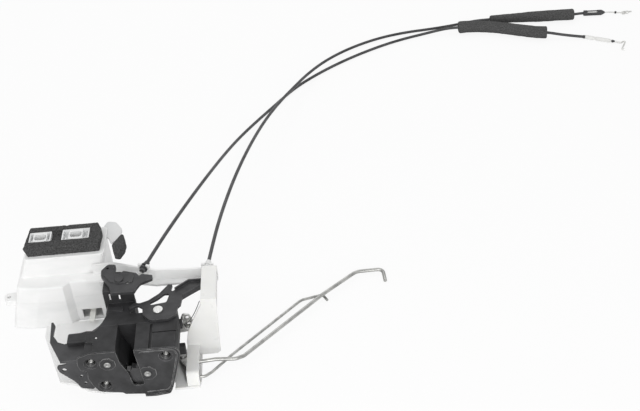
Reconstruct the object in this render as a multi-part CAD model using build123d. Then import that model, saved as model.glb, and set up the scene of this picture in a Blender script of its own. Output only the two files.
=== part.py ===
from build123d import *
import os
from math import atan2, cos, degrees, pi, radians, sin, sqrt, tan

# Door latch actuator of a right front car door, lying on its outboard side.
# Lengths are in millimetres. While modelling, X points up in the car, Y forward and Z inboard;
# X = 0 is the middle of the striker slot, Y = 0 the mounting face and Z = 0 the table.
# The finished pieces are moved so that the origin is the middle of the foot print of the
# latch and its case, at table height.

# ------------------------------------------------------------------ driving dimensions
GAP = 0.3                      # clearance between pieces that move past each other
RUNNING_FIT = 0.05             # radial clearance of a pivot in its bore

# latch module
MODULE_TOP = 65.0              # height of the inboard face of the latch
MODULE_DEPTH = 56.0            # from the mounting face to the back of the body
PLATE_T = 2.0                  # cover plate
PAD_RISE = 0.8                 # raised pads round the rivets
LIP = 1.9                      # how far the lower lip stands out of the mounting face
SCREW_POINTS = ((-38.2, 53.0), (-28.7, 19.7), (38.1, 55.0))
THREAD_R = 2.55                # wall of the M6 thread, as drilled
NUT_R = 6.6
NUT_LENGTH = 8.0
DISH_R = 7.2                   # mouth of the countersunk dish round a screw hole
CLAW_PIVOT = (16.5, 33.4)      # (x, z)
PAWL_PIVOT = (-21.5, 50.9)
CLAW_R = 21.5
CLAW_T = 7.0
CLAW_FRONT = 3.0               # y of the claw's front face
CLAW_TRAVEL = 62.0             # degrees from open to latched
PAWL_TRAVEL = 8.0
PAWL_T = 6.0
JOURNAL_R = 4.0
RIVET_HEAD_R = 3.6
CAVITY_BACK = 17.0             # y of the floor of the mechanism cavity
CHANNEL_BACK = 41.0            # y where the striker channel ends
BODY_FLOOR = 3.2               # underside of the latch body
FLANGE_TOP = MODULE_TOP - 7.0  # top of the side bracket's flange
LEDGE_FLOOR = MODULE_TOP - 19.0
LEDGE_BACK = 78.0
FLANK_FOOT = MODULE_TOP - 7.0  # below this height the body's left side is upright
NECK_TOP = MODULE_TOP + 17.0
NECK_T = 2.6
NECK_FRONT = 74.0
NECK_SLOTS = (-21.5, -11.5)    # x of the two slots through the neck
SIDE_BOSS_Z = MODULE_TOP - 12.0
SIDE_BOSS_R = 5.2
BRACKET_T = 2.0                # side bracket
BACK_PLATE_T = 1.5
SLIDE_T = 2.0
SLIDE_TRAVEL = 3.28
LIFT_PIN = (-12.0, 28.0)       # (x, z) of the pin that lifts the pawl
LIFT_PIN_R = 2.0
STOP_PIN = (-32.6, 24.0)       # (x, y) of the pin that shows in the inboard face
STOP_PIN_R = 1.1
GUIDES = ((-2.0, 28.0), (22.0, 28.0))      # (x, z) of the two guide rivets of the slide
GUIDE_R = 2.2
SLIDE_FRONT = MODULE_DEPTH + BACK_PLATE_T + 0.2
SLIDE_ARM_Y = 73.0
SLIDE_TOP = MODULE_TOP - 4.0
CLAW_SPRING_R = 7.6
CLAW_WIRE_R = 0.7
SPRING_POST = (57.4, 42.5)     # (x, z) of the post on the ear of the back plate
SPRING_POST_R = 1.8
EAR_COIL_R = 4.2
EAR_WIRE_R = 0.75
EAR_LEG = 11.0                 # how far the spring's two legs reach
SHIELD_Y = (50.0, 52.0)        # front and rear of the water shield's wall
SHIELD_TOP = MODULE_TOP + 16.5
SHIELD_RIGHT = 91.0

# levers
OPEN_PIVOT = (29.4, 54.0)      # (x, y)
LEVER_T = 3.0
LEVER_LOW = MODULE_TOP + 0.4
LEVER_HIGH = LEVER_LOW + LEVER_T
CHANNEL_EDGE = 3.2             # height of the turned-up edges of the open lever's arm
FINGER_X = 43.6                # left face of the finger that pushes the slide
INSIDE_PIVOT = (-10.5, 86.0)
INSIDE_PIN_R = 3.0
INSIDE_T = 3.5
INSIDE_LOW = NECK_TOP + GAP
INSIDE_HIGH = INSIDE_LOW + INSIDE_T
ROD_PIVOT = (47.5, 43.0)       # common pin of the outside and key levers
ROD_LEVER_T = 2.0
KEY_LEVER_Z = 4.0
OUTSIDE_LEVER_Z = 9.0
ROD_PIN_R = 3.0
OUTSIDE_END = (55.0, 27.8)     # (x, y) of the hole where the outside rod hooks in
KEY_END = (55.0, 12.8)
LEVER_END_R = 4.0
LEVER_ROOT_R = 5.5

# case
WALL = 2.5
TRAY_T = 2.5
CASE_LEFT, CASE_RIGHT = -146.0, -38.0
CASE_FRONT, CASE_BACK = 115.0, 200.0
CASE_SPLIT = 36.0              # height of the joint between tub and cover
CASE_TOP = 58.0
CASE_LEAN = 16.0               # the left wall leans in this far up to CASE_TOP
NOTCH_LEFT, NOTCH_DEPTH = -80.0, 7.0    # step in the case's front where the lock lever comes out
TOWER_TOP = MODULE_TOP + 19.0   # the foam pad beside it clears the cable bracket
TOWER_FOOT = (-128.0, -38.5)   # left and right at the foot of the tower
TOWER = (-118.0, -31.0, 134.0, 180.0)      # left, right, front, back at its top
SOCKETS = ((-114.0, -90.0, 151.0, 168.0), (-78.0, -48.0, 151.0, 169.0))   # left, right, front, back
WELL = (6.4, 4.6)              # half length and half width of a socket's pin well
FOAM = (-118.5, -35.0, 138.5, 175.5)       # left, right, front, back at the top of the gasket block
FOAM_T = 11.0
FOAM_LEAN = 3.0                # the gasket block leans this far over its thickness
BRIDGE_T = 6.0                 # thickness of the gasket between the sockets
EAR_CENTRE = (CASE_LEFT + 1.0, 131.0)

# gears in the case
GEAR_PLANE = 24.0
SECTOR_PIVOT = (-56.0, 141.0)
LOCK_ARM_Z = 8.0               # underside of the lock lever's arm where it leaves the case
WINDOW = (-67.0, -45.0, LOCK_ARM_Z - 4, LOCK_ARM_Z + 8)     # left, right, low, high
MOTOR_R = 12.0
MOTOR_LENGTH = 24.0
MOTOR_LEFT = -132.0
WORM_SHAFT_R = 1.6
WHEEL_TEETH = 32
WHEEL_MODULE = 1.0
PINION_TEETH = 10
PINION_MODULE = 1.25
SECTOR_TEETH = 46

# cables
BRACKET_Z = CASE_TOP           # foot of the cable bracket
BRACKET_WALL = 2.5
CABLE_Z = MODULE_TOP + 9.0
INSIDE_AIM = 20.3              # the inside cable leaves this many degrees off the Y axis
INSIDE_SEAT = (12.3, 117.9)    # where the inside cable crosses the rear face of the cable bracket
INSIDE_WIRE_REACH = 39.6       # from that face to the pin in the inside lever
BARREL_PIN_R = 1.2
BARREL_R = 2.1
OPEN_AIM = 7.7                 # the open cable leaves this many degrees off the Y axis
OPEN_SEAT = (80.5, 110.5)
OPEN_WIRE_REACH = 20.3
OPEN_WIRE_PIN_R = 1.5
OPEN_SLOT = ((77.8, 90.4), (87.4, 88.0))   # ends of the slot that the open cable's pin slides in
FERRULE_R = 3.0
FERRULE_COLLAR_R = 4.4
FERRULE_FRONT = -7.5           # ends of a cable's end piece, measured from the bracket's rear face
FERRULE_BACK = 7.0
CONDUIT_R = 2.0
SLEEVE_R = 8.2
SLEEVE_LENGTH = 128.0
WIRE_R = 0.8
BUSH_R = 2.8                   # pale bush on the end of the inside cable
BUSH_LENGTH = 9.0
HOOK_COLLAR_R = 2.4
HOOK_R = 1.6
CLIP_R = 3.4                   # black clip on the end of the open cable
CLIP_LENGTH = 20.0
CRIMP_R = 2.6
ROD_R_OUTSIDE = 2.0
ROD_R_KEY = 1.5


# ------------------------------------------------------------------ shapes used by many pieces
def outline(corners):
    """A closed face through (x, y) corners; a third number is that corner's radius."""
    points = [(c[0], c[1]) for c in corners]
    radii = [c[2] if len(c) > 2 else 0 for c in corners]
    return make_face(FilletPolyline(*points, radius=radii, close=True))


def plate_z(corners, low, high):
    """A plate lying flat, from height low to height high."""
    return Pos(0, 0, low) * extrude(outline(corners), high - low)


def plate_y(corners, front, back):
    """A plate whose (x, z) outline stands parallel to the mounting face."""
    return extrude(Plane.XZ.offset(-front) * outline(corners), -(back - front))


def plate_x(corners, left, right):
    """A plate whose (y, z) outline stands across the latch."""
    return extrude(Plane.YZ.offset(left) * outline(corners), right - left)


def block(left, right, front, back, low, high):
    size = (right - left, back - front, high - low)
    return Pos((left + right) / 2, (front + back) / 2, (low + high) / 2) * Box(*size)


def post_z(x, y, radius, low, high):
    return Pos(x, y, (low + high) / 2) * Cylinder(radius, high - low)


def post_y(x, z, radius, front, back):
    return Pos(x, (front + back) / 2, z) * Rot(90, 0, 0) * Cylinder(radius, back - front)


def post_x(y, z, radius, left, right):
    return Pos((left + right) / 2, y, z) * Rot(0, 90, 0) * Cylinder(radius, right - left)


def cone_y(x, z, front_radius, back_radius, front, back):
    """A cone along Y with its two radii at y = front and y = back."""
    return Pos(x, (front + back) / 2, z) * Rot(-90, 0, 0) * Cone(front_radius, back_radius, back - front)


def aimed(shape, seat, angle):
    """Place a shape made along +Y from its own origin at a cable's seat, turned towards +X."""
    return Pos(*seat, 0) * Rot(0, 0, -angle) * shape


def turned_y(shape, pivot, angle):
    """Turn a shape about a Y axis through (x, z); positive is the right-hand way about +Y."""
    x, z = pivot
    return Pos(x, 0, z) * Rot(0, angle, 0) * Pos(-x, 0, -z) * shape


def polar(centre, radius, angle):
    return (centre[0] + radius * cos(radians(angle)), centre[1] + radius * sin(radians(angle)))


def tube(route, radius, bends):
    """A round bar along a route whose corners are rounded by the radii in bends."""
    path = FilletPolyline(*route, radius=bends)
    start = Plane(origin=path @ 0, z_dir=path % 0)
    return sweep(start * Circle(radius), path=path)


def gear_outline(teeth, module, first=0, last=None, backlash=0.18):
    """Straight-flanked teeth round a circle; first and last leave part of the rim toothless."""
    last = teeth if last is None else last
    pitch_r = teeth * module / 2
    root = pitch_r - 1.2 * module
    tip = pitch_r + 0.9 * module
    step = 360 / teeth
    points = []
    for tooth in range(first, last):
        middle = tooth * step
        half_root = step * 0.33
        half_tip = step * 0.13 - degrees(backlash / tip) / 2
        points.append(polar((0, 0), root, middle - half_root))
        points.append(polar((0, 0), tip, middle - half_tip))
        points.append(polar((0, 0), tip, middle + half_tip))
        points.append(polar((0, 0), root, middle + half_root))
    return points


nodes = {}

# ------------------------------------------------------------------ cover plate and nuts
SLOT = ((-10.7, 80), (-10.7, 65), (-9.3, 51.5), (-3.0, 36, 8), (-0.4, 17.2, 3),
        (10.6, 16.8, 2.5), (10.4, 30), (7.4, 60), (7.2, 80))
PLATE_OUTLINE = ((-50.4, 62, 3), (-51.5, 52, 4), (-49.8, 45, 2), (-43.0, 42.6, 2), (-44.6, 33), (-41, 21, 6),
                 (-36, 12.0, 6), (-13.2, 7.6, 2), (-10.6, 5.2, 1.5), (8.8, 3.2), (9.3, 1.0), (21, 0.4, 6),
                 (35.5, 2.6, 4), (39.3, 9.5, 6), (52.6, 54.4, 5), (52.4, 61, 4), (48.5, 66, 6), (-37, 67, 6))


def octagon(centre, width):
    points = [(*polar(centre, width / 2 / cos(pi / 8), 22.5 + 45 * k), 1.2) for k in range(8)]
    return points


def cover_plate():
    plate = plate_y(PLATE_OUTLINE, 0, PLATE_T)
    plate += plate_y(octagon(PAWL_PIVOT, 15.5), -PAD_RISE, 0)
    plate += plate_y(octagon(CLAW_PIVOT, 17.5), -PAD_RISE, 0)
    # a coined rib follows the edge of the claw side
    rib = plate_y(((12, 64.5, 3), (48, 64.0, 5), (50.4, 56, 5), (38.4, 12.5, 5), (34, 6.0, 4), (12, 5.0)), -0.5, 0)
    rib -= plate_y(((11, 63.3, 3), (47.2, 62.8, 4.5), (49.1, 56, 4.5), (37.4, 13.2, 4.5), (33.4, 7.2, 3.5),
                    (11, 6.2)), -0.6, 0.1)
    plate += rib
    # the lower right edge is turned out into a lip
    plate += plate_y(((9.6, 2.4), (9.6, 0.9), (21, 0.4, 6), (35.5, 2.6, 4), (38.4, 8.2), (36.4, 8.6), (34.4, 4.4, 3),
                      (21, 2.2, 6)), -LIP, 0.5)
    plate -= plate_y(SLOT, -2, PLATE_T + 1)
    for x, z in SCREW_POINTS:
        plate -= cone_y(x, z, DISH_R, THREAD_R + 2.4, 0, PLATE_T)
        plate -= post_y(x, z, DISH_R, -1, 0)
    for x, z in (PAWL_PIVOT, CLAW_PIVOT):
        plate -= post_y(x, z, RIVET_HEAD_R - 0.8, -2, PLATE_T + 1)
    return plate


def mount_nut(x, z):
    nut = post_y(x, z, NUT_R, PLATE_T, PLATE_T + NUT_LENGTH)
    nut -= cone_y(x, z, THREAD_R + 2.4, THREAD_R, PLATE_T, PLATE_T + 2.4)
    nut -= post_y(x, z, THREAD_R, PLATE_T, PLATE_T + NUT_LENGTH + 1)
    return nut


nodes["cover_plate"] = cover_plate()
nodes["mount_nuts"] = Compound(children=[mount_nut(x, z) for x, z in SCREW_POINTS])

# ------------------------------------------------------------------ claw
MOUTH_ANGLE = 197.0            # direction of the claw's mouth when latched
MOUTH_R = 5.8
MOUTH_CENTRE = 14.3


def claw():
    x, z = CLAW_PIVOT
    back = CLAW_FRONT + CLAW_T
    shape = post_y(x, z, CLAW_R, CLAW_FRONT, back)
    # the mouth that holds the striker, open to the rim
    inner = polar(CLAW_PIVOT, MOUTH_CENTRE, MOUTH_ANGLE)
    outer = polar(CLAW_PIVOT, CLAW_R + 8, MOUTH_ANGLE)
    side = polar((0, 0), MOUTH_R, MOUTH_ANGLE + 90)
    mouth = [(inner[0] + side[0], inner[1] + side[1]), (inner[0] - side[0], inner[1] - side[1]),
             (outer[0] - side[0] * 1.5, outer[1] - side[1] * 1.5),
             (outer[0] + side[0] * 1.5, outer[1] + side[1] * 1.5)]
    shape -= plate_y(mouth, 0, back + 1)
    shape -= post_y(*inner, MOUTH_R, 0, back + 1)
    # the rim is stepped down beside the mouth, where the pawl's nose drops in
    step = [polar(CLAW_PIVOT, r, a) for r, a in ((16.5, 205), (30, 205), (30, 236), (17.5, 236))]
    shape -= plate_y(step, 0, back + 1)
    # the back of the claw is cut away
    away = [polar(CLAW_PIVOT, r, a) for r, a in ((12.5, -48), (32, -48), (40, 0), (40, 60), (34, 140), (12.8, 140),
                                                 (12.5, 95), (12.5, 50), (12.5, 0))]
    shape -= plate_y(away, 0, back + 1)
    shape -= post_y(x, z, JOURNAL_R + RUNNING_FIT, 0, back + 1)
    # the hub carries the spring
    hub = post_y(x, z, JOURNAL_R + 2.0, back, back + 5.0) - post_y(x, z, JOURNAL_R + RUNNING_FIT, 0, back + 6)
    return turned_y(shape + hub, CLAW_PIVOT, CLAW_TRAVEL)


nodes["claw"] = claw()

# ------------------------------------------------------------------ pawl with its lifting pin
PAWL_OUTLINE = ((-27, 46, 3), (-28.5, 54, 4), (-22, 59.5, 4), (-15, 56.5, 3), (-13.5, 49), (-7.8, 36, 6),
                (-8.2, 26, 5), (-0.2, 16.8, 1.5), (1.6, 14.6, 1), (0.4, 11.6, 1), (-5, 12.6, 2), (-15, 24, 4),
                (-20, 40, 6))


def pawl():
    front = CLAW_FRONT + 0.5
    shape = plate_y(PAWL_OUTLINE, front, front + PAWL_T)
    shape -= post_y(*PAWL_PIVOT, JOURNAL_R + RUNNING_FIT, 0, 30)
    shape += post_y(*LIFT_PIN, LIFT_PIN_R, front + PAWL_T, MODULE_DEPTH + BACK_PLATE_T + SLIDE_T + 1.5)
    return shape


nodes["pawl"] = pawl()


def pivot(centre, pad):
    """A shouldered rivet with a dished head on the cover plate."""
    x, z = centre
    rivet = post_y(x, z, RIVET_HEAD_R, -pad - 1.3, -pad)
    rivet = fillet(rivet.edges().filter_by(GeomType.CIRCLE).sort_by(Axis.Y)[0], 0.6)
    rivet -= cone_y(x, z, 1.8, 0.9, -pad - 1.3, -pad - 0.8)
    rivet += post_y(x, z, RIVET_HEAD_R - 0.8, -pad, PLATE_T)
    rivet += post_y(x, z, JOURNAL_R, PLATE_T, CAVITY_BACK + 8)
    return rivet


nodes["claw_pivot"] = pivot(CLAW_PIVOT, PAD_RISE)
nodes["pawl_pivot"] = pivot(PAWL_PIVOT, PAD_RISE)

# ------------------------------------------------------------------ latch body
BODY_FRONT = ((-44, 43), (-38.5, 36), (-37.5, 20, 4), (-31, 11.5, 4), (-11, 8.8), (-9, 5.2), (9, 4.2),
              (20, BODY_FLOOR, 4), (34.5, 4.2, 4), (38, 10.5, 4), (51.5, 54.4), (51.2, 61, 4), (48.5, MODULE_TOP, 3),
              (-44, MODULE_TOP, 2))
BODY_PLAN = ((-50, PLATE_T), (50, PLATE_T, 2), (55, 7, 4), (55, 22, 6), (52, 38, 6), (49, 49), (49, MODULE_DEPTH),
             (-1.5, MODULE_DEPTH, 1.5), (4, 64, 3), (4, LEDGE_BACK), (-27.7, LEDGE_BACK), (-27.7, 61, 6),
             (-30, 51.5, 5), (-42.5, 40.2, 6), (-50, 36.5))
BODY_DECK = (*BODY_PLAN[:10], (-24.5, LEDGE_BACK), (-24.8, 57, 6), (-28, 48, 5), (-33.5, 35, 6), (-50, 30))


def body_block():
    """Outer form of the two mouldings: the front profile cut by the plan, with a sloping left flank on top."""
    upright = plate_z(BODY_PLAN, 0, FLANK_FOOT)
    flank = loft([Pos(0, 0, FLANK_FOOT) * outline(BODY_PLAN), Pos(0, 0, MODULE_TOP) * outline(BODY_DECK)])
    return (upright + flank) & plate_y(BODY_FRONT, PLATE_T, 110)


def lift_pin_way(front, back):
    """Arc-shaped way of the pawl's lifting pin."""
    way = None
    for share in (0, 0.5, 1):
        hole = turned_y(post_y(*LIFT_PIN, LIFT_PIN_R + 0.8, front, back), PAWL_PIVOT, PAWL_TRAVEL * share)
        way = hole if way is None else way + hole
    return way


def neck():
    """Upright tab with a roof that carries the inside lever, braced by two gussets."""
    back, roof = 104.0, NECK_TOP - NECK_T
    tab = plate_y(((-28, LEDGE_FLOOR), (4, LEDGE_FLOOR), (4, NECK_TOP, 2), (-28, NECK_TOP, 2)), NECK_FRONT,
                  NECK_FRONT + NECK_T)
    for x in NECK_SLOTS:
        tab -= block(x - 1.0, x + 1.0, NECK_FRONT - 1, NECK_FRONT + NECK_T + 1, MODULE_TOP + 3, roof - 1)
    tab += plate_z(((-28, NECK_FRONT + 1), (-5.4, NECK_FRONT + 1), (-5.4, 92, 3), (-10, back, 4), (-28, back, 3)),
                   roof, NECK_TOP)
    for left in (-28.0, -5.4 - NECK_T):
        tab += plate_x(((NECK_FRONT + 1, MODULE_TOP - 1), (LEDGE_BACK, MODULE_TOP - 1), (back - 6, roof - 2, 3),
                        (back - 6, roof + 1), (NECK_FRONT + 1, roof + 1)), left, left + NECK_T)
    tab += post_z(*INSIDE_PIVOT, 5.0, roof - 8, roof + 1)
    return tab - post_z(*INSIDE_PIVOT, INSIDE_PIN_R, roof - 9, NECK_TOP + 1)


def rear_housing():
    """Closes the back of the latch body and carries the levers on a thick ledge with the neck on it."""
    body = body_block() - block(-80, 80, 0, CHANNEL_BACK, -1, MODULE_TOP + 1)
    body -= block(-60, 60, MODULE_DEPTH, 120, -1, LEDGE_FLOOR)
    body += neck()
    body += plate_z(((-23, 60.5, 1), (-8, 60.5, 1), (-8, 66, 1), (-23, 66, 1)), MODULE_TOP - 1, MODULE_TOP + 2.2)
    # round boss on the right side
    body += post_x(47, SIDE_BOSS_Z, SIDE_BOSS_R, 46, 52.6)
    body -= post_x(47, SIDE_BOSS_Z, SIDE_BOSS_R - 2.2, 51, 54)
    body -= lift_pin_way(CHANNEL_BACK - 1, MODULE_DEPTH + 2)
    for x, z in GUIDES:
        body -= post_y(x, z, GUIDE_R, MODULE_DEPTH - 6, MODULE_DEPTH + 1)
    body -= post_z(*OPEN_PIVOT, JOURNAL_R, MODULE_TOP - 12, MODULE_TOP + 1)
    return body


nodes["rear_housing"] = rear_housing()


def latch_body():
    body = body_block() - block(-80, 80, CHANNEL_BACK, 120, -1, MODULE_TOP + 1)
    # rounded arm over the side bracket
    arm = plate_z(((-63, 22.2, 2), (-38, 22.2), (-38, 37), (-44, 37.5, 4), (-50, 35.8, 4), (-63, 35.4, 2)),
                  FLANGE_TOP + 0.4, MODULE_TOP - 0.6)
    body += fillet(arm.edges().group_by(Axis.Z)[-1], 2.2)
    # low hood between the grooves and the mounting face
    body += plate_x(((4, MODULE_TOP - 2), (24, MODULE_TOP - 2), (24, MODULE_TOP, 1), (14, MODULE_TOP + 1.3, 14),
                     (4, MODULE_TOP, 1)), 25, 48)
    # stop rib on the right side
    body += plate_z(((44, 28, 1), (54.2, 28, 1), (54.2, 34, 1), (44, 34, 1)), 27, 38)
    # mechanism cavity
    cavity = post_y(*CLAW_PIVOT, CLAW_R + 1.0, PLATE_T - 1, CAVITY_BACK - 5)
    cavity += post_y(*CLAW_PIVOT, 10.5, PLATE_T - 1, CAVITY_BACK)
    cavity += plate_y(PAWL_CAVITY, PLATE_T - 1, CAVITY_BACK - 5)
    # room for the pawl when it is lifted
    room = extrude(Plane.XZ.offset(-PLATE_T) * offset(outline(PAWL_OUTLINE), 0.6), -(CAVITY_BACK - 5 - PLATE_T))
    cavity += turned_y(room, PAWL_PIVOT, PAWL_TRAVEL)
    body -= cavity
    # striker channel, open to the mounting face and to the inboard face
    body -= plate_y(CHANNEL, PLATE_T - 1, CHANNEL_BACK)
    body -= plate_y(((0.7, 12.8), (9.5, 12.8), (9.5, 20), (0.7, 20)), 15.9, 34.1)
    # grooves, corner recess and pin hole of the inboard face
    body -= block(21.6, 24.4, 3.5, 39, MODULE_TOP - 2.5, MODULE_TOP + 1)
    body -= block(24, 56, 24.6, 26.6, MODULE_TOP - 1.5, MODULE_TOP + 2)
    body -= plate_z(((-50, 4.5), (-35, 4.5, 3), (-35, 19, 4), (-50, 19)), MODULE_TOP - 1.8, MODULE_TOP + 1)
    body -= post_z(*STOP_PIN, STOP_PIN_R + 0.7, MODULE_TOP - 1, MODULE_TOP + 1)
    body -= post_z(*STOP_PIN, STOP_PIN_R, MODULE_TOP - 8, MODULE_TOP)
    for x, z in SCREW_POINTS:
        body -= post_y(x, z, NUT_R + 0.1, PLATE_T - 1, PLATE_T + NUT_LENGTH)
        body -= post_y(x, z, THREAD_R + 0.8, PLATE_T, PLATE_T + NUT_LENGTH + 8)
    for x, z in (PAWL_PIVOT, CLAW_PIVOT):
        body -= post_y(x, z, JOURNAL_R, PLATE_T, CAVITY_BACK + 8)
    body -= lift_pin_way(PLATE_T, CHANNEL_BACK + 1)
    return body


CHANNEL = ((-12, 80), (-12, 64), (-10.5, 51), (-4.2, 35.5, 6), (-1.5, 16.2, 2), (11.2, 15.8, 2), (11.2, 30),
           (7.6, 60), (7.2, 80))
PAWL_CAVITY = ((-29.5, 44, 4), (-30.3, 55, 4), (-23, 61.5, 4), (-13.5, 59.5, 3), (-12.5, 49), (-7, 37, 5),
               (-7, 27, 4), (3.2, 16.5, 2), (3.2, 12, 1), (-2, 9.8, 1), (-10, 9.6, 2), (-17.5, 18, 4), (-22.5, 38, 5))

nodes["latch_body"] = latch_body()
nodes["stop_pin"] = post_z(*STOP_PIN, STOP_PIN_R, MODULE_TOP - 8, MODULE_TOP + 0.3)

# ------------------------------------------------------------------ springs and bumper in the body
def claw_spring():
    """Torsion spring: closed coils round the claw's hub with one leg out to the body."""
    x, z = CLAW_PIVOT
    coils = None
    for turn in range(2):
        y = CLAW_FRONT + CLAW_T + 1.0 + 1.3 * turn
        coil = Pos(x, y, z) * Rot(90, 0, 0) * Torus(CLAW_SPRING_R, CLAW_WIRE_R)
        coils = coil if coils is None else coils + coil
    leg_y = CLAW_FRONT + CLAW_T + 2.3
    leg = post_x(leg_y, z - CLAW_SPRING_R, CLAW_WIRE_R, x - 0.5, x + 6.4)
    return coils + leg


nodes["claw_spring"] = claw_spring()
BUMPER = ((0.8, 12.9), (9.4, 12.9), (9.4, 16.6), (0.8, 16.6))
nodes["striker_bumper"] = plate_y(BUMPER, 16, 34)


# ------------------------------------------------------------------ back plate and release slide
def back_plate():
    front = MODULE_DEPTH
    plate = plate_y(((-37, 14, 3), (-30, 12, 4), (-10, 9.5, 3), (36, 6, 4), (40, 12, 4), (44, 31, 4), (58, 33, 4),
                     (64, 43, 4), (60, 56, 3), (53, 58, 3), (50.4, 52, 2), (50.4, 42), (-37, 42, 4)),
                    front, front + BACK_PLATE_T)
    # hole and slot in the ear
    plate -= post_y(57.5, 52.5, 1.9, front - 1, front + BACK_PLATE_T + 1)
    plate -= plate_y(((51.6, 44, 1), (53.8, 44, 1), (53.8, 50, 1), (51.6, 50, 1)), front - 1,
                     front + BACK_PLATE_T + 1)
    plate -= lift_pin_way(front - 1, front + 3)
    for x, z in GUIDES:
        plate -= post_y(x, z, GUIDE_R, front - 1, front + BACK_PLATE_T + 1)
    return plate


nodes["back_plate"] = back_plate()


def lever_spring():
    """Return spring of the rod levers: coils round its post, one leg up and one leg down."""
    x, z = SPRING_POST
    first = MODULE_DEPTH - EAR_WIRE_R - GAP
    second = first - 2 * EAR_WIRE_R
    spring = post_z(x - EAR_COIL_R, first, EAR_WIRE_R, z, z + EAR_LEG)
    spring += post_z(x + EAR_COIL_R, second, EAR_WIRE_R, z - EAR_LEG, z)
    for y in (first, second):
        spring += Pos(x, y, z) * Rot(90, 0, 0) * Torus(EAR_COIL_R, EAR_WIRE_R + 0.02)
    return spring


nodes["spring_post"] = post_y(*SPRING_POST, SPRING_POST_R, SHIELD_Y[1] + GAP, MODULE_DEPTH)
nodes["lever_spring"] = lever_spring()


def release_slide():
    back = SLIDE_FRONT + SLIDE_T
    slide = plate_y(((-20, 22, 3), (34, 22, 3), (43, 40, 4), (43, SLIDE_TOP, 1), (37, SLIDE_TOP, 3), (36, 44, 4),
                     (28, 34, 4), (-20, 34, 3)), SLIDE_FRONT, back)
    slide += plate_x(((SLIDE_FRONT, SLIDE_TOP - 8), (SLIDE_ARM_Y, SLIDE_TOP - 8, 2), (SLIDE_ARM_Y, SLIDE_TOP, 2),
                      (SLIDE_FRONT, SLIDE_TOP)), 43 - SLIDE_T, 43)
    # the pin's hole is tall enough for the pawl's arc
    x, z = LIFT_PIN
    hole = block(x - LIFT_PIN_R - GAP, x + LIFT_PIN_R + GAP, SLIDE_FRONT - 1, back + 1, z - 4.4, z + 2.6)
    slide -= hole
    for gx, gz in GUIDES:
        slide -= plate_y(((gx - GUIDE_R - GAP, gz - GUIDE_R - GAP, 2.2),
                          (gx + GUIDE_R + SLIDE_TRAVEL + GAP, gz - GUIDE_R - GAP, 2.2),
                          (gx + GUIDE_R + SLIDE_TRAVEL + GAP, gz + GUIDE_R + GAP, 2.2),
                          (gx - GUIDE_R - GAP, gz + GUIDE_R + GAP, 2.2)), SLIDE_FRONT - 1, back + 1)
    return slide


nodes["release_slide"] = release_slide()


def guide_rivet(x, z):
    back = SLIDE_FRONT + SLIDE_T + 0.2
    rivet = post_y(x, z, GUIDE_R, MODULE_DEPTH - 6, back)
    rivet += post_y(x, z, GUIDE_R + 2, back, back + 1.4)
    return rivet


nodes["guide_rivets"] = Compound(children=[guide_rivet(x, z) for x, z in GUIDES])

# ------------------------------------------------------------------ side bracket
def side_bracket():
    front = PLATE_T
    upright = plate_y(((-73, 49.5, 2), (-71.5, 43, 3), (-59.4, 28.6), (-56.9, 24.2), (-54.3, 17.4, 4), (-41, 14.5, 3),
                       (-39.5, 20), (-39.5, 34), (-45.4, 40), (-45.4, FLANGE_TOP), (-68.3, FLANGE_TOP),
                       (-68.6, 55.6), (-62.5, 54.8, 0.8), (-62.5, 52.6, 0.8), (-71.7, 51.6, 1.5)),
                      front, front + BRACKET_T)
    flange = plate_z(((-68.3, front), (-82.2, 31, 2), (-84.4, 60.2), (-82.3, 60.2), (-79.5, 54.8, 1), (-80, 40.5, 2),
                      (-73.7, 30, 3), (-66.3, 26.5, 1), (-63.5, 28), (-45.4, 28), (-45.4, front)),
                     FLANGE_TOP - BRACKET_T, FLANGE_TOP)
    bracket = upright + flange
    for x, z, radius in ((-66.3, 45.6, 2.4), (-50.8, 34.9, 1.7), (-48.6, 24.5, 1.7)):
        bracket -= post_y(x, z, radius, front - 1, front + BRACKET_T + 1)
    return bracket


nodes["side_bracket"] = side_bracket()

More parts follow.
